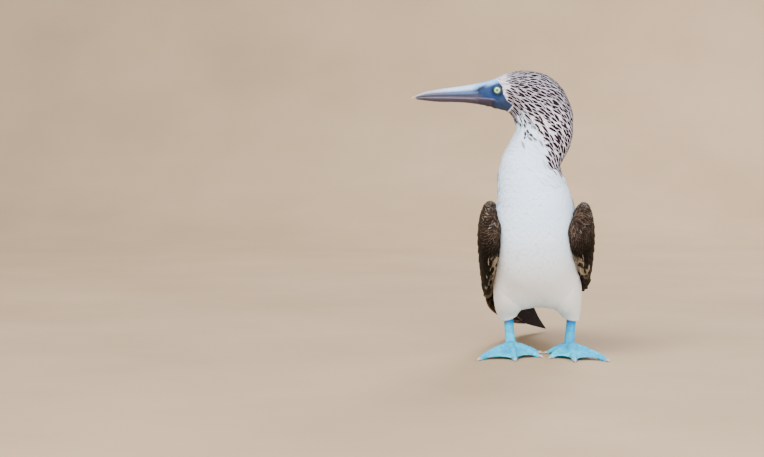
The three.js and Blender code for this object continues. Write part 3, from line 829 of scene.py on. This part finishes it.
def head_coat(name, long, short, size, lift, plain):
    """One layer of the head's coat: plain pale feathers below, streaked ones on top."""
    gaps = lambda u: (head_size(u)[0] * long, head_size(u)[1] * short)
    inside = lambda u, v: from_back(v) < streak_reach(u) + (0.06 if plain else 0.1)
    u, v = body.evenly(gaps, combed, rng, lambda u, v: feathered(u, v, inside))
    points = body.point(u, v)
    core, rim, streaked = markings(u, v, points, rng)[:3]
    length, width = (value * size * rng.uniform(0.85, 1.15, len(u)) for value in head_size(u))
    length = length * (1 - 0.5 * stray(core, streaked))
    lift = lift * np.interp(u, [0.4, 0.5, 0.8], [1.5, 1.2, 0.7]) * rng.uniform(0.6, 1.4, len(u))
    # crown and cheek are darker than the nape, so the pale parts between their streaks are dusky too
    z, near = points[:, 2], bare(points)
    crown, cheek = ease(z, 315, 345) * ease(-near, 5, 14), 1.3 * ease(356 - z, 0, 8) * ease(near, -18, -5)
    dusk = streaked * np.maximum(crown, cheek)
    rim = blend(rim, STREAK[None], dusk * (0.55 if plain else 0.32))
    if plain:
        core = rim
    return lay(name, body, u, v, combed, length, width, (core, rim), heading=rng.normal(0, 0.14, len(u)),
               sink=1.6 if plain else 0.5, lift=lift, rise=0.6, rows=6, crown=0.3,
               shape=(0.25, 0.8, 1.0, 0.9, 0.6, 0.08),
               material=streak_feather, slot="streaked_down")


def body_coat(name, chosen):
    size = lambda u: np.interp(u, [0.0, 0.2, 0.4, 0.5, 0.65], [17, 15, 12.5, 10, 7.5])
    gaps = lambda u: (size(u) * 0.42, size(u) * 0.26)
    white = lambda u, v: (from_back(v) > np.where(u > 0.36, streak_reach(u) - 0.02, -1)) * chosen(u, v)
    u, v = body.evenly(gaps, combed, rng, lambda u, v: feathered(u, v, white))
    core, rim, streaked, brown = markings(u, v, body.point(u, v), rng)
    length = size(u) * rng.uniform(0.9, 1.1, len(u))
    lift = rng.uniform(0.02, 0.12, len(u)) + 0.6 * brown
    fleck = stray(core, streaked) * (u > 0.4)
    length = length * (1 - 0.5 * fleck)
    width = length * (0.57 - 0.17 * fleck)
    return lay(name, body, u, v, combed, length, width, (core, rim), heading=rng.normal(0, 0.06, len(u)),
               sink=1.5, lift=lift, ribs=5, crown=0.06, camber=0.2, shape=(0.35, 0.9, 1.0, 0.92, 0.4),
               material=white_feather, slot="white_down")


head_coat("head_undercoat", 0.34, 0.6, 0.9, 0.1, True)
head_coat("head_coat", 0.42, 0.58, 1.0, 0.6, False)
body_coat("front_coat", lambda u, v: from_back(v) > 0.22)
body_coat("back_coat", lambda u, v: from_back(v) <= 0.22)

for side, surface in thighs.items():
    gaps = lambda u: (4.6 - 2 * u, 3.2 - 1.2 * u)
    u, v = surface.evenly(gaps, surface.onward, rng)
    at = surface.point(u, v)
    # the thighs' white carries the same painted ground bounce as the belly
    length = np.minimum(rng.uniform(10, 13, len(u)) * (1 - 0.35 * u), at[:, 2] - hem(side, at[:, 0]) + 2.5)
    lay(f"thigh_coat_{side}", surface, u, v, surface.onward, length, 6.8 - 2.6 * u, (white_with_painted_light(at), white_with_painted_light(at)),
        heading=rng.normal(0, 0.08, len(u)), sink=1.5, lift=rng.uniform(0.02, 0.15, len(u)), ribs=5,
        crown=0.08, camber=0.2, material=white_feather, slot="white_down")

# %% [markdown]
# ## Wings
#
# A folded wing is a stack. Long primaries lie lowest and reach the tip, secondaries close over them, and
# coverts in rows, smaller and smaller, cover the roots up to the wrist. The form is a loft through ten
# stations from wrist to tip; its outer side takes the feathers, and a thin core carries them.

# %% Wing forms
WINGS = {
    "right": [
        # middle (x, y, z), full height, full thickness, lean of the top edge over the back in degrees
        (-58, -92, 186, 24, 9, 0), (-62, -83, 178, 62, 24, 0), (-64.5, -60, 163.5, 91, 34, 0),
        (-66.5, -18, 143, 104, 32, 1), (-64.5, 32, 120, 104, 25, 4), (-53, 82, 95, 93, 19, 10),
        (-40, 130, 67, 72, 13, 18), (-26, 174, 38, 46, 8, 26), (-9, 208, 17, 24, 5, 30),
        (9, 240, 0.3, 6, 2, 30),
    ],
    "left": [
        (44, -92, 184, 24, 9, 0), (49, -83, 176, 62, 24, 0), (55, -60, 163, 88, 32, 0),
        (57, -18, 146, 100, 30, 1), (54.5, 32, 128, 98, 25, 4), (43, 82, 112, 84, 19, 12),
        (29, 132, 98, 62, 13, 22), (13, 182, 79, 42, 8, 30), (0, 225, 62, 26, 5, 34),
        (-10, 264, 47, 7, 2, 34),
    ],
}


def wing_surface(side, inset, rows=160, columns=72):
    read = through(WINGS[side], rows)
    middle, high, thick = read[:, :3], read[:, 3:4] / 2, read[:, 4:5] / 2
    lean = np.radians(read[:, 5:6])
    outward = 1 if side == "left" else -1
    ahead = unit(np.gradient(middle, axis=0))
    upright = unit(np.array([0, 0, 1.0]) - ahead * ahead[:, 2:])
    level = np.cross(ahead, upright) * outward
    up = upright * np.cos(lean) - level * np.sin(lean)
    out = (level * np.cos(lean) + upright * np.sin(lean)) * outward
    turn = np.arange(columns) / columns * 2 * math.pi
    nose = np.sqrt(1 - (1 - np.clip(np.linspace(0.05, 28, rows), 0, 1)) ** 2)[:, None]
    high = np.maximum(high - inset, 0.4) * nose
    thick = np.maximum(thick - inset, 0.35) * nose
    grid = middle[:, None] + up[:, None] * (np.cos(turn)[None, :, None] * high[:, None])
    grid = grid + out[:, None] * (np.sin(turn)[None, :, None] * thick[:, None])
    return Surface(grid, flip=True)


wings = {side: wing_surface(side, 2.6) for side in WINGS}
print("wing rows", wings["left"].grid.shape)

# %% [markdown]
# Each layer is one tier of vanes, rooted in rows and laid from the wrist towards the tip, and a later tier
# lies higher and covers the roots of the one before. The shoulder is mottled grey with a few white specks,
# the lining has a pale patch, and all else is near black brown with thin paler rims.

# %% Wing feathers
# painted light: the core is greyer and lighter than the brown vanes, to lift the shadow where it shows under
# the wing tip
core_finish = Finish("wing core", Roughness=0.8, Specular_IOR_Level=0.05)
core_grain = core_finish.noise(core_finish.stretch(core_finish.place(), (900, 60, 900)), 1.0)
core_finish.feed("Base Color", core_finish.ramp(core_grain, (0.3, rgba("201b1a")), (0.8, rgba("3c3334"))))
core_finish.bump(core_grain, 0.4, 0.0004)
PALE_LINING = paint("ac987e")
PATCH = {"right": (74, 148, 1.0), "left": (106, 146, 0.9)}


def round_wing(side, q):
    """v on the wing: q is 0 at the top edge, 1 at the bottom edge and 2 at the top again, and its first
    half is the outer side."""
    return q * 0.5 if side == "left" else 1 - q * 0.5


def tier(side, name, u, q, length, width, sink, lift, rows=6, ribs=5, heading=0.0, **how):
    """One layer of a wing. rim and deep are factors for the colours of the vanes' rims and of the whole."""
    surface, v = wings[side], round_wing(side, q)
    count = len(u)
    at = surface.point(u, v)
    shade = rng.uniform(0.75, 1.25, (count, 1)) * how.pop("deep", 1.0)
    # grey mottling at the shoulder, with a few white specks, and a pale patch on the lining
    frost = (ease(at[:, 2], 145, 185) * rng.uniform(0.2, 1, count))[:, None]
    speck = (rng.random(count) < 0.14 * ease(at[:, 2], 168, 188))[:, None]
    low, high, begin = PATCH[side]
    patch = ease(q, begin - 0.03, begin + 0.03) * ease(1.75 - q, 0, 0.1)
    patch = patch * ease(at[:, 2], low, low + 6) * ease(high - at[:, 2], 0, 6)
    patch = (patch * (rng.random(count) < 0.85))[:, None]
    core = BROWN * 0.16 * shade * (1 + 17 * frost)
    core = core * (1 - patch) + PALE_LINING * (0.1 + 0.5 * rng.random((count, 1))) * patch
    rim = BROWN_RIM * 0.065 * how.pop("rim", 1.0) * shade * (1 + 13 * frost)
    rim = rim * (1 - patch) + PALE_LINING * 0.75 * patch
    rim = rim * (1 - speck) + WARM_WHITE * 0.35 * speck
    turn = heading * (1 if side == "left" else -1)
    return lay(f"{name}_{side}", surface, u, v, surface.onward, length, width, (core, rim),
               heading=turn + rng.normal(0, 0.03, count), sink=sink, lift=lift, rows=rows, ribs=ribs,
               material=vane_feather, slot="brown_vane", **how)


def rows_of(u_low, u_high, rows, q_low, q_high, across):
    """Staggered rows of roots: u down the wing and q round it."""
    row, place = np.divmod(np.arange(rows * across), across)
    q = q_low + (place + 0.5 * (row % 2) + 0.25) * (q_high - q_low) / across
    u = u_low + (u_high - u_low) * row / max(rows - 1, 1)
    return u + rng.normal(0, 0.003, len(u)), q + rng.normal(0, 0.006, len(q))


def dress_wing(side):
    surface = wings[side]
    rows, columns = surface.grid.shape[:2]
    faces = grid_faces(rows, columns) + end_faces(rows, columns)
    points = surface.grid.reshape(-1, 3)
    wing_core = piece(f"wing_core_{side}", points, faces, core_finish.material)
    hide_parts(f"wing_{side}")
    blade = (0.55, 0.8, 0.95, 1.0, 1.0, 0.97, 0.85, 0.55, 0.12)
    cover = (0.4, 0.85, 1.0, 1.0, 0.9, 0.6, 0.15)
    total = np.linalg.norm(np.diff(surface.grid[:, 0], axis=0), axis=1).sum()
    q, tip = np.linspace(0.98, 0.42, 8), np.linspace(0.9, 1.0, 8)
    # the primaries are painted much lighter than the other vanes, as painted light against the shadow they
    # lie in under the body
    tier(side, "primaries", np.full(8, 0.5), q, (tip - 0.5) * total, 19, 0.6, np.linspace(0.4, 2.2, 8),
         rows=18, heading=np.linspace(0.0, -0.05, 8), shape=blade, crown=0.7, camber=0.7, rim=2.0, deep=9.0)
    q = np.linspace(0.8, 0.08, 10)
    tier(side, "secondaries", np.linspace(0.42, 0.34, 10), q, np.linspace(88, 120, 10), 21, 0.8,
         np.linspace(1.6, 3.0, 10), rows=14, shape=blade, crown=0.7, camber=0.8, rim=1.6, deep=1.6)
    u, q = rows_of(0.15, 0.6, 12, 0.94, 1.94, 9)
    tier(side, "lining", u, q, 27, 12, 1.2, 1.6, rows=6, shape=cover, crown=0.4, camber=0.4)
    u, q = rows_of(0.3, 0.36, 2, 0.04, 0.95, 11)
    tier(side, "greater_coverts", u, q, 46, 18, 0.8, 3.0, rows=9, shape=cover, crown=0.6, camber=0.7)
    u, q = rows_of(0.19, 0.28, 3, 0.02, 0.96, 11)
    tier(side, "median_coverts", u, q, 30, 15, 1.0, 2.8, rows=7, shape=cover, crown=0.55, camber=0.5)
    u, q = rows_of(0.0, 0.2, 16, 0.0, 2.0, 30)
    tier(side, "lesser_coverts", u, q, 13 + 14 * u, 5 + 15 * u, 1.2, 2.2, rows=5, ribs=3, shape=cover,
         crown=0.4, camber=0.3, rim=1.25)


for side in WINGS:
    dress_wing(side)

# %% [markdown]
# ## Tail
#
# Twelve stiff, pointed feathers make a wedge: the middle pair is longest and lies on top. They are laid
# on a flat roof-shaped sheet that runs from the end of the trunk to the tip, with white coverts over
# their roots.

# %% Tail
TAIL_ROOT, TAIL_TIP = np.array([-5, 150.0, 79.0]), np.array([-7, 284.0, 30.0])


def tail_sheet(rows=40, columns=21):
    middle = (TAIL_ROOT + TAIL_TIP) / 2 + (0, 0, 4)
    line = through([TAIL_ROOT - (0, 26, -12), TAIL_ROOT, middle, TAIL_TIP], rows)
    share = np.linspace(-1, 1, columns)
    wide = through(np.array([[19], [24], [22], [15]]), rows)
    grid = line[:, None] + np.array([1.0, 0, 0]) * share[None, :, None] * wide[:, None]
    grid[..., 2] -= 3.0 * share[None] ** 2
    return Surface(grid, closed=False, flip=True)


tail = tail_sheet()
place = (np.array([0, 11, 1, 10, 2, 9, 3, 8, 4, 7, 5, 6]) + 0.5) / 12
central = 1 - np.abs(place - 0.5) * 2
# painted light: the tail vanes are lightened against the shadow they lie in under the body; the central pair
# are lighter still
shade = rng.uniform(0.85, 1.15, (12, 1)) * (2.2 + 1.6 * ease(central, 0.75, 1.0))[:, None]
tail_blades = lay(
    "tail_blades", tail, np.full(12, 0.12), 0.5 + (place - 0.5) * 0.62, tail.onward, 108 + 42 * central, 17.0,
    (BROWN * shade, BROWN_RIM * 0.7 * shade), heading=(0.5 - place) * -0.1, sink=0.4,
    lift=0.4 + 1.8 * central, rows=16, ribs=5, crown=0.7, camber=0.6,
    shape=(0.5, 0.8, 1.0, 1.0, 0.95, 0.85, 0.65, 0.4, 0.1), material=vane_feather, slot="brown_vane")
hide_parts("tail")

u, place = rows_of(0.06, 0.24, 4, 0.12, 0.88, 7)
cover = blend(WHITE[None], BROWN_RIM[None], 0.5 * ease(u, 0.1, 0.26))
lay("tail_coverts", tail, u, place, tail.onward, 30.0, 13.0, (cover, cover),
    heading=rng.normal(0, 0.05, len(u)), sink=0.0, lift=4.2, rows=7, ribs=5, crown=0.3, camber=0.4,
    material=white_feather, slot="white_down")
print("tail normal", tail.normal[20, 10].round(2))

# %% [markdown]
# ## Bare face
#
# The face between bill and feathers is slate blue skin, a little wrinkled, darker round the eye and by
# the mouth. It comes from the same loft as the feathered skin, in a piece of its own that runs on under
# the first feathers, where it turns pale and sinks.

# %% Face
face_finish = Finish("bare face", Roughness=0.55, Specular_IOR_Level=0.2)
place = face_finish.place()
soft, fine = face_finish.noise(place, 160, 4), face_finish.noise(place, 1100, 2)
pores = face_finish.cells(place, 1500)
tone = (soft - 0.5) * 0.7 + (fine - 0.5) * 0.4 + 1.0
face_finish.feed("Base Color", face_finish.toned(face_finish.attribute("shade"), tone))
face_finish.bump(soft * 0.6 + fine * 0.5 + pores * 0.5, 0.5, 0.0004)

# along x: the mouth's and the crown's height
MOUTH_LINE = [(-81, -69, -60, -53), (339.3, 338.5, 337.1, 335.4)]
CROWN_LINE = [(-81, -70.5, -58.5, -44.5), (358.7, 360.9, 365.2, 370.8)]


def face_colours(x, z, eye):
    """Slate blue, light along the top and dark in a wedge before the eye, in a crescent behind it and at
    the corner of the mouth, with browner skin below the mouth and a blue throat."""
    mouth, crown = np.interp(x, *MOUTH_LINE), np.interp(x, *CROWN_LINE)
    colour = blend(paint("15305a"), paint("84bcff"), ease(z - crown, -9, -2))
    colour = blend(colour, paint("14305e"), 0.7 * ease(346 - z, 0, 6))
    band = ease(mouth + 6.5 - z, 0, 2.5) * (1 - ease(x, -82, -70))
    colour = blend(colour, paint("3a3848"), band)
    stroke = z - 350.2 - 0.5 * (x + 82)
    lore = np.exp(-((stroke / 2.8) ** 2)) * (1 - ease(x, -76, -67)) * ease(x, -86, -79)
    colour = blend(colour, paint("02060f"), 0.94 * lore)
    behind = np.exp(-(((eye - 6.6) / 2.0) ** 2)) * ease(x - EYE_MM[0], -1, 4)
    round_it = 0.7 * np.exp(-((eye - 4.6) ** 2))
    colour = blend(colour, paint("070b16"), 0.85 * np.maximum(behind, round_it))
    below = ease(mouth - z, -0.2, 1.2)
    throat = blend(paint("3a323e"), paint("263652"), ease(x, -67, -55))
    colour = blend(colour, throat, np.maximum(below, ease(x, -61, -53) * ease(343 - z, 0, 5)))
    corner = np.exp(-(((x + 62) / 2.5) ** 2)) * ease(mouth + 1 - z, 0, 3)
    colour = blend(colour, paint("161a2a"), 0.6 * corner)
    lips = np.exp(-(((z - mouth - 0.3) / 0.8) ** 2)) * (1 - ease(x, -64, -57))
    return blend(colour, paint("7c7490"), 0.8 * lips)


FACE_FROM, TUCK = 0.7, 7


def face():
    rows, columns = body.grid.shape[:2]
    first = int(rows * FACE_FROM)
    grid, normal = body.grid[first:], body.normal[first:]
    flat = grid.reshape(-1, 3)
    x, z = flat[:, 0], flat[:, 2]
    line = np.exp(-(((z - np.interp(x, *MOUTH_LINE)) / 0.8) ** 2)) * ease(-x, 51, 55)
    eye = np.linalg.norm(flat[:, [0, 2]] - EYE_MM[[0, 2]], axis=1)
    hollow = 1.1 * np.exp(-(((eye - 10) / 3.5) ** 2))
    fold = 0.3 * np.sin(x * 0.8 + z * 0.5) * ease(332 - z, 0, 4)
    under = 1.5 * ease(-bare(flat), 0.5, TUCK)
    points = flat - normal.reshape(-1, 3) * (0.15 + 0.8 * line + hollow - fold + under)[:, None]
    keep = bare(flat) > -TUCK
    faces = [f for f in grid_faces(len(grid), columns) if all(keep[i] for i in f)]
    faces.append(end_faces(len(grid), columns)[1])
    used = sorted({i for f in faces for i in f})
    number = {old: new for new, old in enumerate(used)}
    faces = [tuple(number[i] for i in f) for f in faces]
    thing = piece("bare_face", points[used], faces, face_finish.material)
    # past the edge of the feathers the skin is pale, as it is under them
    shade = blend(face_colours(x, z, eye), STREAK_RIM[None], ease(-bare(flat), 0.2, 1.4))
    colour_layer(thing, "shade", shade[used])
    return thing


bare_face = face()
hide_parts("face")
print("face:", len(bare_face.data.polygons), "faces")

# %% [markdown]
# ## Eyes
#
# A booby's iris is pale yellow green, and a male's pupil is small. The ball's own place gives the angle
# from the line of sight, so iris, pupil and the dark line round the iris are rings of that angle. A clear
# coat makes the wet shine.

# %% Eyes
def eye_middle(side):
    return EYE_MM if side == "left" else np.array([EYE_MM[0], 2 * HEAD_Y - EYE_MM[1], EYE_MM[2]])


def eye_finish(side):
    made = Finish(f"eye {side}", Roughness=0.25, Coat_Weight=1.0, Coat_Roughness=0.03)
    middle = metres(eye_middle(side))
    away = made.node("ShaderNodeVectorMath", {"operation": "SUBTRACT"}, {0: made.place(), 1: tuple(middle)})
    x, z = made.split(away, 0) * 1000, made.split(away, 2) * 1000
    radius = (x * x + z * z) ** 0.5
    streaks = made.noise(made.stretch(away, (700, 0.001, 700)), 1.2, 5)
    ring = radius / 5.0 + (streaks - 0.5) * 0.22
    iris = made.ramp(ring, (0.35, rgba("6cba80")), (0.6, rgba("aee490")), (0.85, rgba("82c288")))
    iris = made.mix(radius.rise(3.7, 4.15), iris, rgba("1a241c"))
    made.feed("Base Color", made.mix(radius.rise(1.8, 1.55), iris, rgba("050505")))
    return made.material


def lid(side):
    """A soft ring of skin that follows the ball, from its opening to under the face."""
    sign = -1 if side == "left" else 1
    points, turns = [], 56
    profile = [(7.12, 4.15), (7.75, 4.1), (8.2, 4.6), (8.35, 5.3), (8.15, 6.2), (7.6, 7.0)]
    for reach, ring in profile:
        for j in range(turns):
            turn = 2 * math.pi * j / turns
            wide = ring * (1 + 0.02 * math.sin(9 * turn))
            deep = math.sqrt(max(reach * reach - ring * ring, 0))
            points.append(eye_middle(side) + (wide * math.cos(turn), sign * deep, wide * math.sin(turn)))
    faces = grid_faces(len(profile), turns, flip=side == "right")
    thing = piece(f"lid_ring_{side}", np.array(points), faces, lid_finish.material)
    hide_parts(f"lid_{side}")


lid_finish = Finish("eye ring", Roughness=0.45)
lid_grain = lid_finish.noise(lid_finish.place(), 700)
lid_finish.feed("Base Color", lid_finish.ramp(lid_grain, (0.3, rgba("0a1220")), (0.75, rgba("1c3258"))))
lid_finish.bump(lid_grain, 0.4, 0.0003)


def eyeball(side):
    rows, columns = 33, 48
    tilt = np.pi * (np.arange(rows) + 0.02)[:, None] / (rows - 0.96)
    turn = 2 * np.pi * np.arange(columns)[None] / columns
    ball = np.stack([np.sin(tilt) * np.cos(turn), np.cos(tilt) + 0 * turn, np.sin(tilt) * np.sin(turn)], -1)
    points = eye_middle(side) + EYE_RADIUS * ball.reshape(-1, 3)
    faces = grid_faces(rows, columns) + end_faces(rows, columns)
    thing = piece(f"eyeball_{side}", points, faces, eye_finish(side))
    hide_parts(f"eye_{side}")


for side in LEGS:
    eyeball(side)
    lid(side)
print("eyes and lids")

# %% [markdown]
# ## Bill
#
# The bill is a long cone of horn plates: a keel with a groove on each side, cutting edges that meet in a
# fine line, and a slightly hooked tip. It is steel blue along the top, lightened along the ridge by a painted
# highlight, duller and browner on the sides and below, and pale at the tip.

# %% Bill
BILL_ROOT, BILL_TIP = -80.4, -169.0
MOUTH = [339.3, 339.9, 340.3, 340.4, 340.2, 338.8]
CULMEN = [358.7, 355.4, 352.9, 350.6, 347.2, 339.8]
LOWER = [330.8, 333, 333.8, 334.1, 335.8, 338.2]
HALF = [11, 8.2, 6.4, 5, 3.6, 1]
# half a section from the mouth's edge round to the ridge, as shares of half width and height
UPPER_SECTION = [
    (0.9, -0.01), (0.96, 0.03), (0.985, 0.08), (1, 0.2), (0.97, 0.3), (0.93, 0.38), (0.85, 0.43),
    (0.83, 0.48), (0.855, 0.54), (0.85, 0.6), (0.79, 0.7), (0.66, 0.82), (0.46, 0.92), (0.24, 0.98),
]
LOWER_SECTION = [
    (0.84, -0.02), (0.89, 0.05), (0.92, 0.16), (0.93, 0.3), (0.87, 0.5), (0.75, 0.7), (0.56, 0.87),
    (0.3, 0.97),
]


def upper_colours(tipward, height):
    """Steel blue along the ridge, partly its own paler horn and partly a painted highlight, duller towards
    the tip, with a brown purple band above the mouth.
    """
    # the ridge's pale blue is the horn's paler top with a painted highlight on it
    ridge = blend(paint("b8d6f8"), paint("aea8bc"), ease(tipward, 0.35, 0.75))
    flank = blend(paint("34507c"), paint("4a4658"), ease(tipward, 0.2, 0.75))
    band = blend(paint("322e38"), paint("2a252c"), tipward)
    colour = blend(band, flank, ease(height, 0.18, 0.42))
    colour = blend(colour, ridge, ease(height, 0.42, 0.8))
    colour = blend(colour, paint("7c7490"), 0.8 * (1 - ease(height, 0.02, 0.09)))
    return blend(colour, paint("c8ac7e"), ease(tipward, 0.92, 0.985))


def lower_colours(tipward, height):
    colour = blend(paint("3a323a"), paint("4c4248"), ease(height, 0.55, 1.0) * 0.7)
    colour = blend(colour, paint("7c7086"), 0.85 * (1 - ease(height, 0.05, 0.3)))
    return blend(colour, paint("bfa98e"), ease(tipward, 0.9, 0.99))


def bill_half(name, node, section, ridge, narrow, tip, colours, rows=110):
    x = np.linspace(BILL_ROOT, tip, rows)[:, None]
    tipward = np.clip((x - BILL_ROOT) / (BILL_TIP - BILL_ROOT), 0, 1)
    read = through(np.stack([MOUTH, ridge, HALF], 1), 400)[(tipward[:, 0] * 399).round().astype(int)]
    edge, top, half = (read[:, k : k + 1] for k in range(3))
    section = np.array(section + [(0.0, 1.0)] + [(-w, h) for w, h in section[::-1]])
    w, h = section[None, :, 0], section[None, :, 1]
    points = np.stack([x + 0 * w, HEAD_Y + w * half * narrow, edge + h * (top - edge)], -1)
    columns = len(section)
    up = top[0, 0] > edge[0, 0]
    faces = grid_faces(rows, columns, flip=not up)
    faces += end_faces(rows, columns) if up else [face[::-1] for face in end_faces(rows, columns)]
    thing = piece(name, points.reshape(-1, 3), faces, bill_finish.material)
    # the horn takes its colour over from the face, so that no line shows where they meet
    x, z = points[..., 0].ravel(), points[..., 2].ravel()
    far_from_eye = np.full(len(x), 30.0)
    shades = colours(tipward + 0 * h, h + 0 * tipward).reshape(-1, 3)
    colour_layer(thing, "shade", blend(face_colours(x, z, far_from_eye), shades, ease(-x, 80, 93)))
    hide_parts(node)


bill_finish = Finish("bill", Roughness=0.4, Specular_IOR_Level=0.3)
place = bill_finish.place()
long_grain = bill_finish.noise(bill_finish.stretch(place, (40, 420, 420)), 3, 5)
speck = bill_finish.noise(place, 300, 3)
tone = (long_grain - 0.5) * 0.9 + (speck - 0.5) * 0.2 + 1.0
bill_finish.feed("Base Color", bill_finish.toned(bill_finish.attribute("shade"), tone))
bill_finish.feed("Roughness", 0.32 + speck * 0.25)
bill_finish.bump(long_grain + speck * 0.3, 0.35, 0.0005)

bill_half("bill_upper", "upper_bill", UPPER_SECTION, CULMEN, 1.0, BILL_TIP, upper_colours)
bill_half("bill_lower", "lower_bill", LOWER_SECTION, LOWER, 0.94, BILL_TIP + 6, lower_colours)
print("bill done")

# %% [markdown]
# ## Legs and feet
#
# The blue comes from the skin itself: bright turquoise on the webs and toes, a touch deeper where the
# feathers end. One skin runs over leg, toes and webs. It starts as a copy of the solids, which a voxel
# remesh welds into one mesh of even squares and a few rounds of smoothing make soft.

# %% Legs and feet
foot_finish = Finish("blue skin", Roughness=0.65, Specular_IOR_Level=0.05)
place = foot_finish.place()
z_mm = foot_finish.split(place, 2) * 1000
broad, middle_grain, fine = (foot_finish.noise(place, scale, 3) for scale in (45, 220, 1200))
scale_gap = foot_finish.cells(place, 620, "DISTANCE_TO_EDGE")
scale_tone = foot_finish.cells(place, 620, "F1", "Color")
tone = foot_finish.ramp(broad, (0.3, rgba("00a0dc")), (0.5, rgba("00c4ec")), (0.7, rgba("10e4fc")))
tone = foot_finish.mix(0.03, tone, scale_tone)
tone = foot_finish.mix(z_mm.rise(35, 43) * 0.8, tone, rgba("0450b4"))
tone = foot_finish.mix((1 - scale_gap.rise(0.0, 0.14)) * 0.4, tone, rgba("0078ac"))
tone = foot_finish.mix(middle_grain.rise(0.56, 0.7) * 0.5, tone, rgba("0086bc"))
foot_finish.feed("Base Color", foot_finish.mix(middle_grain.rise(0.42, 0.3) * 0.4, tone, rgba("50f0ff")))
foot_finish.bump(scale_gap.rise(0.0, 0.2) * 0.7 + fine * 0.3 + middle_grain * 0.8, 0.6, 0.0007)


PUFF = 0.00025


def foot_skin(side):
    mesh = bmesh.new()
    for node in (f"foot_{side}", f"tarsus_{side}"):
        mesh.from_mesh(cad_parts[node].data)
    mesh.normal_update()
    for vertex in mesh.verts:
        vertex.co += vertex.normal * PUFF
    whole = bpy.data.meshes.new("leg")
    mesh.to_mesh(whole)
    mesh.free()
    thing = bpy.data.objects.new(f"leg_skin_{side}", whole)
    bpy.context.scene.collection.objects.link(thing)
    worked(thing, "REMESH", mode="VOXEL", voxel_size=0.0007)
    worked(thing, "SMOOTH", iterations=6, factor=0.5)
    # the ankle, where the leg joins the foot, is rounded off much more
    ankle = thing.vertex_groups.new(name="ankle")
    z = places_of(thing)[:, 2]
    ankle.add(np.nonzero(np.abs(z - 14) < 7)[0].tolist(), 1.0, "REPLACE")
    worked(thing, "SMOOTH", iterations=60, factor=0.5, vertex_group="ankle")
    smoothed(thing, foot_finish.material)
    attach(thing, "root")
    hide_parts(f"foot_{side}", f"tarsus_{side}")
    print(thing.name, len(thing.data.polygons), "faces")


for side in LEGS:
    foot_skin(side)

# %% [markdown]
# The claws are the frame's own nodes, with a finish of pale, mottled horn.

# %% Claws
claw_finish = Finish("claw horn", Roughness=0.35)
claw_grain = claw_finish.noise(claw_finish.place(), 600, 3)
claw_finish.feed("Base Color", claw_finish.ramp(claw_grain, (0.3, rgba("9a8f88")), (0.7, rgba("cfc5bb"))))
claw_finish.bump(claw_grain, 0.3, 0.0002)
for name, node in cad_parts.items():
    if name.startswith("claw"):
        smoothed(node, claw_finish.material)
print("claws done")

# %% [markdown]
# ## Studio
#
# A pale sheet that curves up behind the bird, a large soft light above and in front, a low one that fills
# from the front, and a weaker one from behind that draws the edges. The light in the photo is bright and
# even, so the world adds much cool light, and shadows are soft and pale.

# %% Floor and lights
def floor_sheet():
    floor_z = metres([0, 0, SOLE_Z])[2]
    flat_to, bend, far = 1.6, 1.2, 20.0
    turn = np.linspace(0.1, math.pi / 2, 14)
    profile = [(-far, 0), (flat_to, 0)]
    profile += [(flat_to + bend * math.sin(a), bend - bend * math.cos(a)) for a in turn]
    profile += [(flat_to + bend, 6.0)]
    points = [(x, y, floor_z + z) for y, z in profile for x in (-far, far)]
    mesh = bpy.data.meshes.new("floor")
    mesh.from_pydata(points, [], [(2 * i, 2 * i + 1, 2 * i + 3, 2 * i + 2) for i in range(len(profile) - 1)])
    mesh.polygons.foreach_set("use_smooth", [True] * len(mesh.polygons))
    made = Finish("pale sheet", Roughness=0.8)
    grain = made.noise(made.place(), 3)
    made.feed("Base Color", made.ramp(grain, (0.3, rgba("a88b6a")), (0.7, rgba("b49776"))))
    mesh.materials.append(made.material)
    thing = bpy.data.objects.new("floor", mesh)
    bpy.context.scene.collection.objects.link(thing)


def soft_light(name, place, aim, size, power, colour):
    data = bpy.data.lights.new(name, "AREA")
    data.shape, data.size, data.energy, data.color = "DISK", size, power, colour
    lamp = bpy.data.objects.new(name, data)
    lamp.location = place
    lamp.rotation_euler = (Vector(aim) - Vector(place)).to_track_quat("-Z", "Y").to_euler()
    bpy.context.scene.collection.objects.link(lamp)


floor_sheet()
LIGHTS = {
    # place, aim, size, power, colour
    "key": ((-0.9, -2.0, 2.5), (0, 0, 0.2), 1.8, 130, (1.0, 0.99, 0.97)),
    "fill": ((0.8, -2.5, 0.25), (0, 0, 0.1), 1.8, 100, (0.94, 0.97, 1.0)),
    "back": ((0.6, 2.2, 1.8), (0, 0, 0.25), 1.2, 62, (1.0, 0.98, 0.96)),
}
for name, values in LIGHTS.items():
    soft_light(name, *values)
world = bpy.data.worlds.new("sky")
world.use_nodes = True
even_light = world.node_tree.nodes["Background"]
even_light.inputs["Color"].default_value = (0.72, 0.86, 1.0, 1)
even_light.inputs["Strength"].default_value = 1.45
bpy.context.scene.world = world
print("studio is lit")
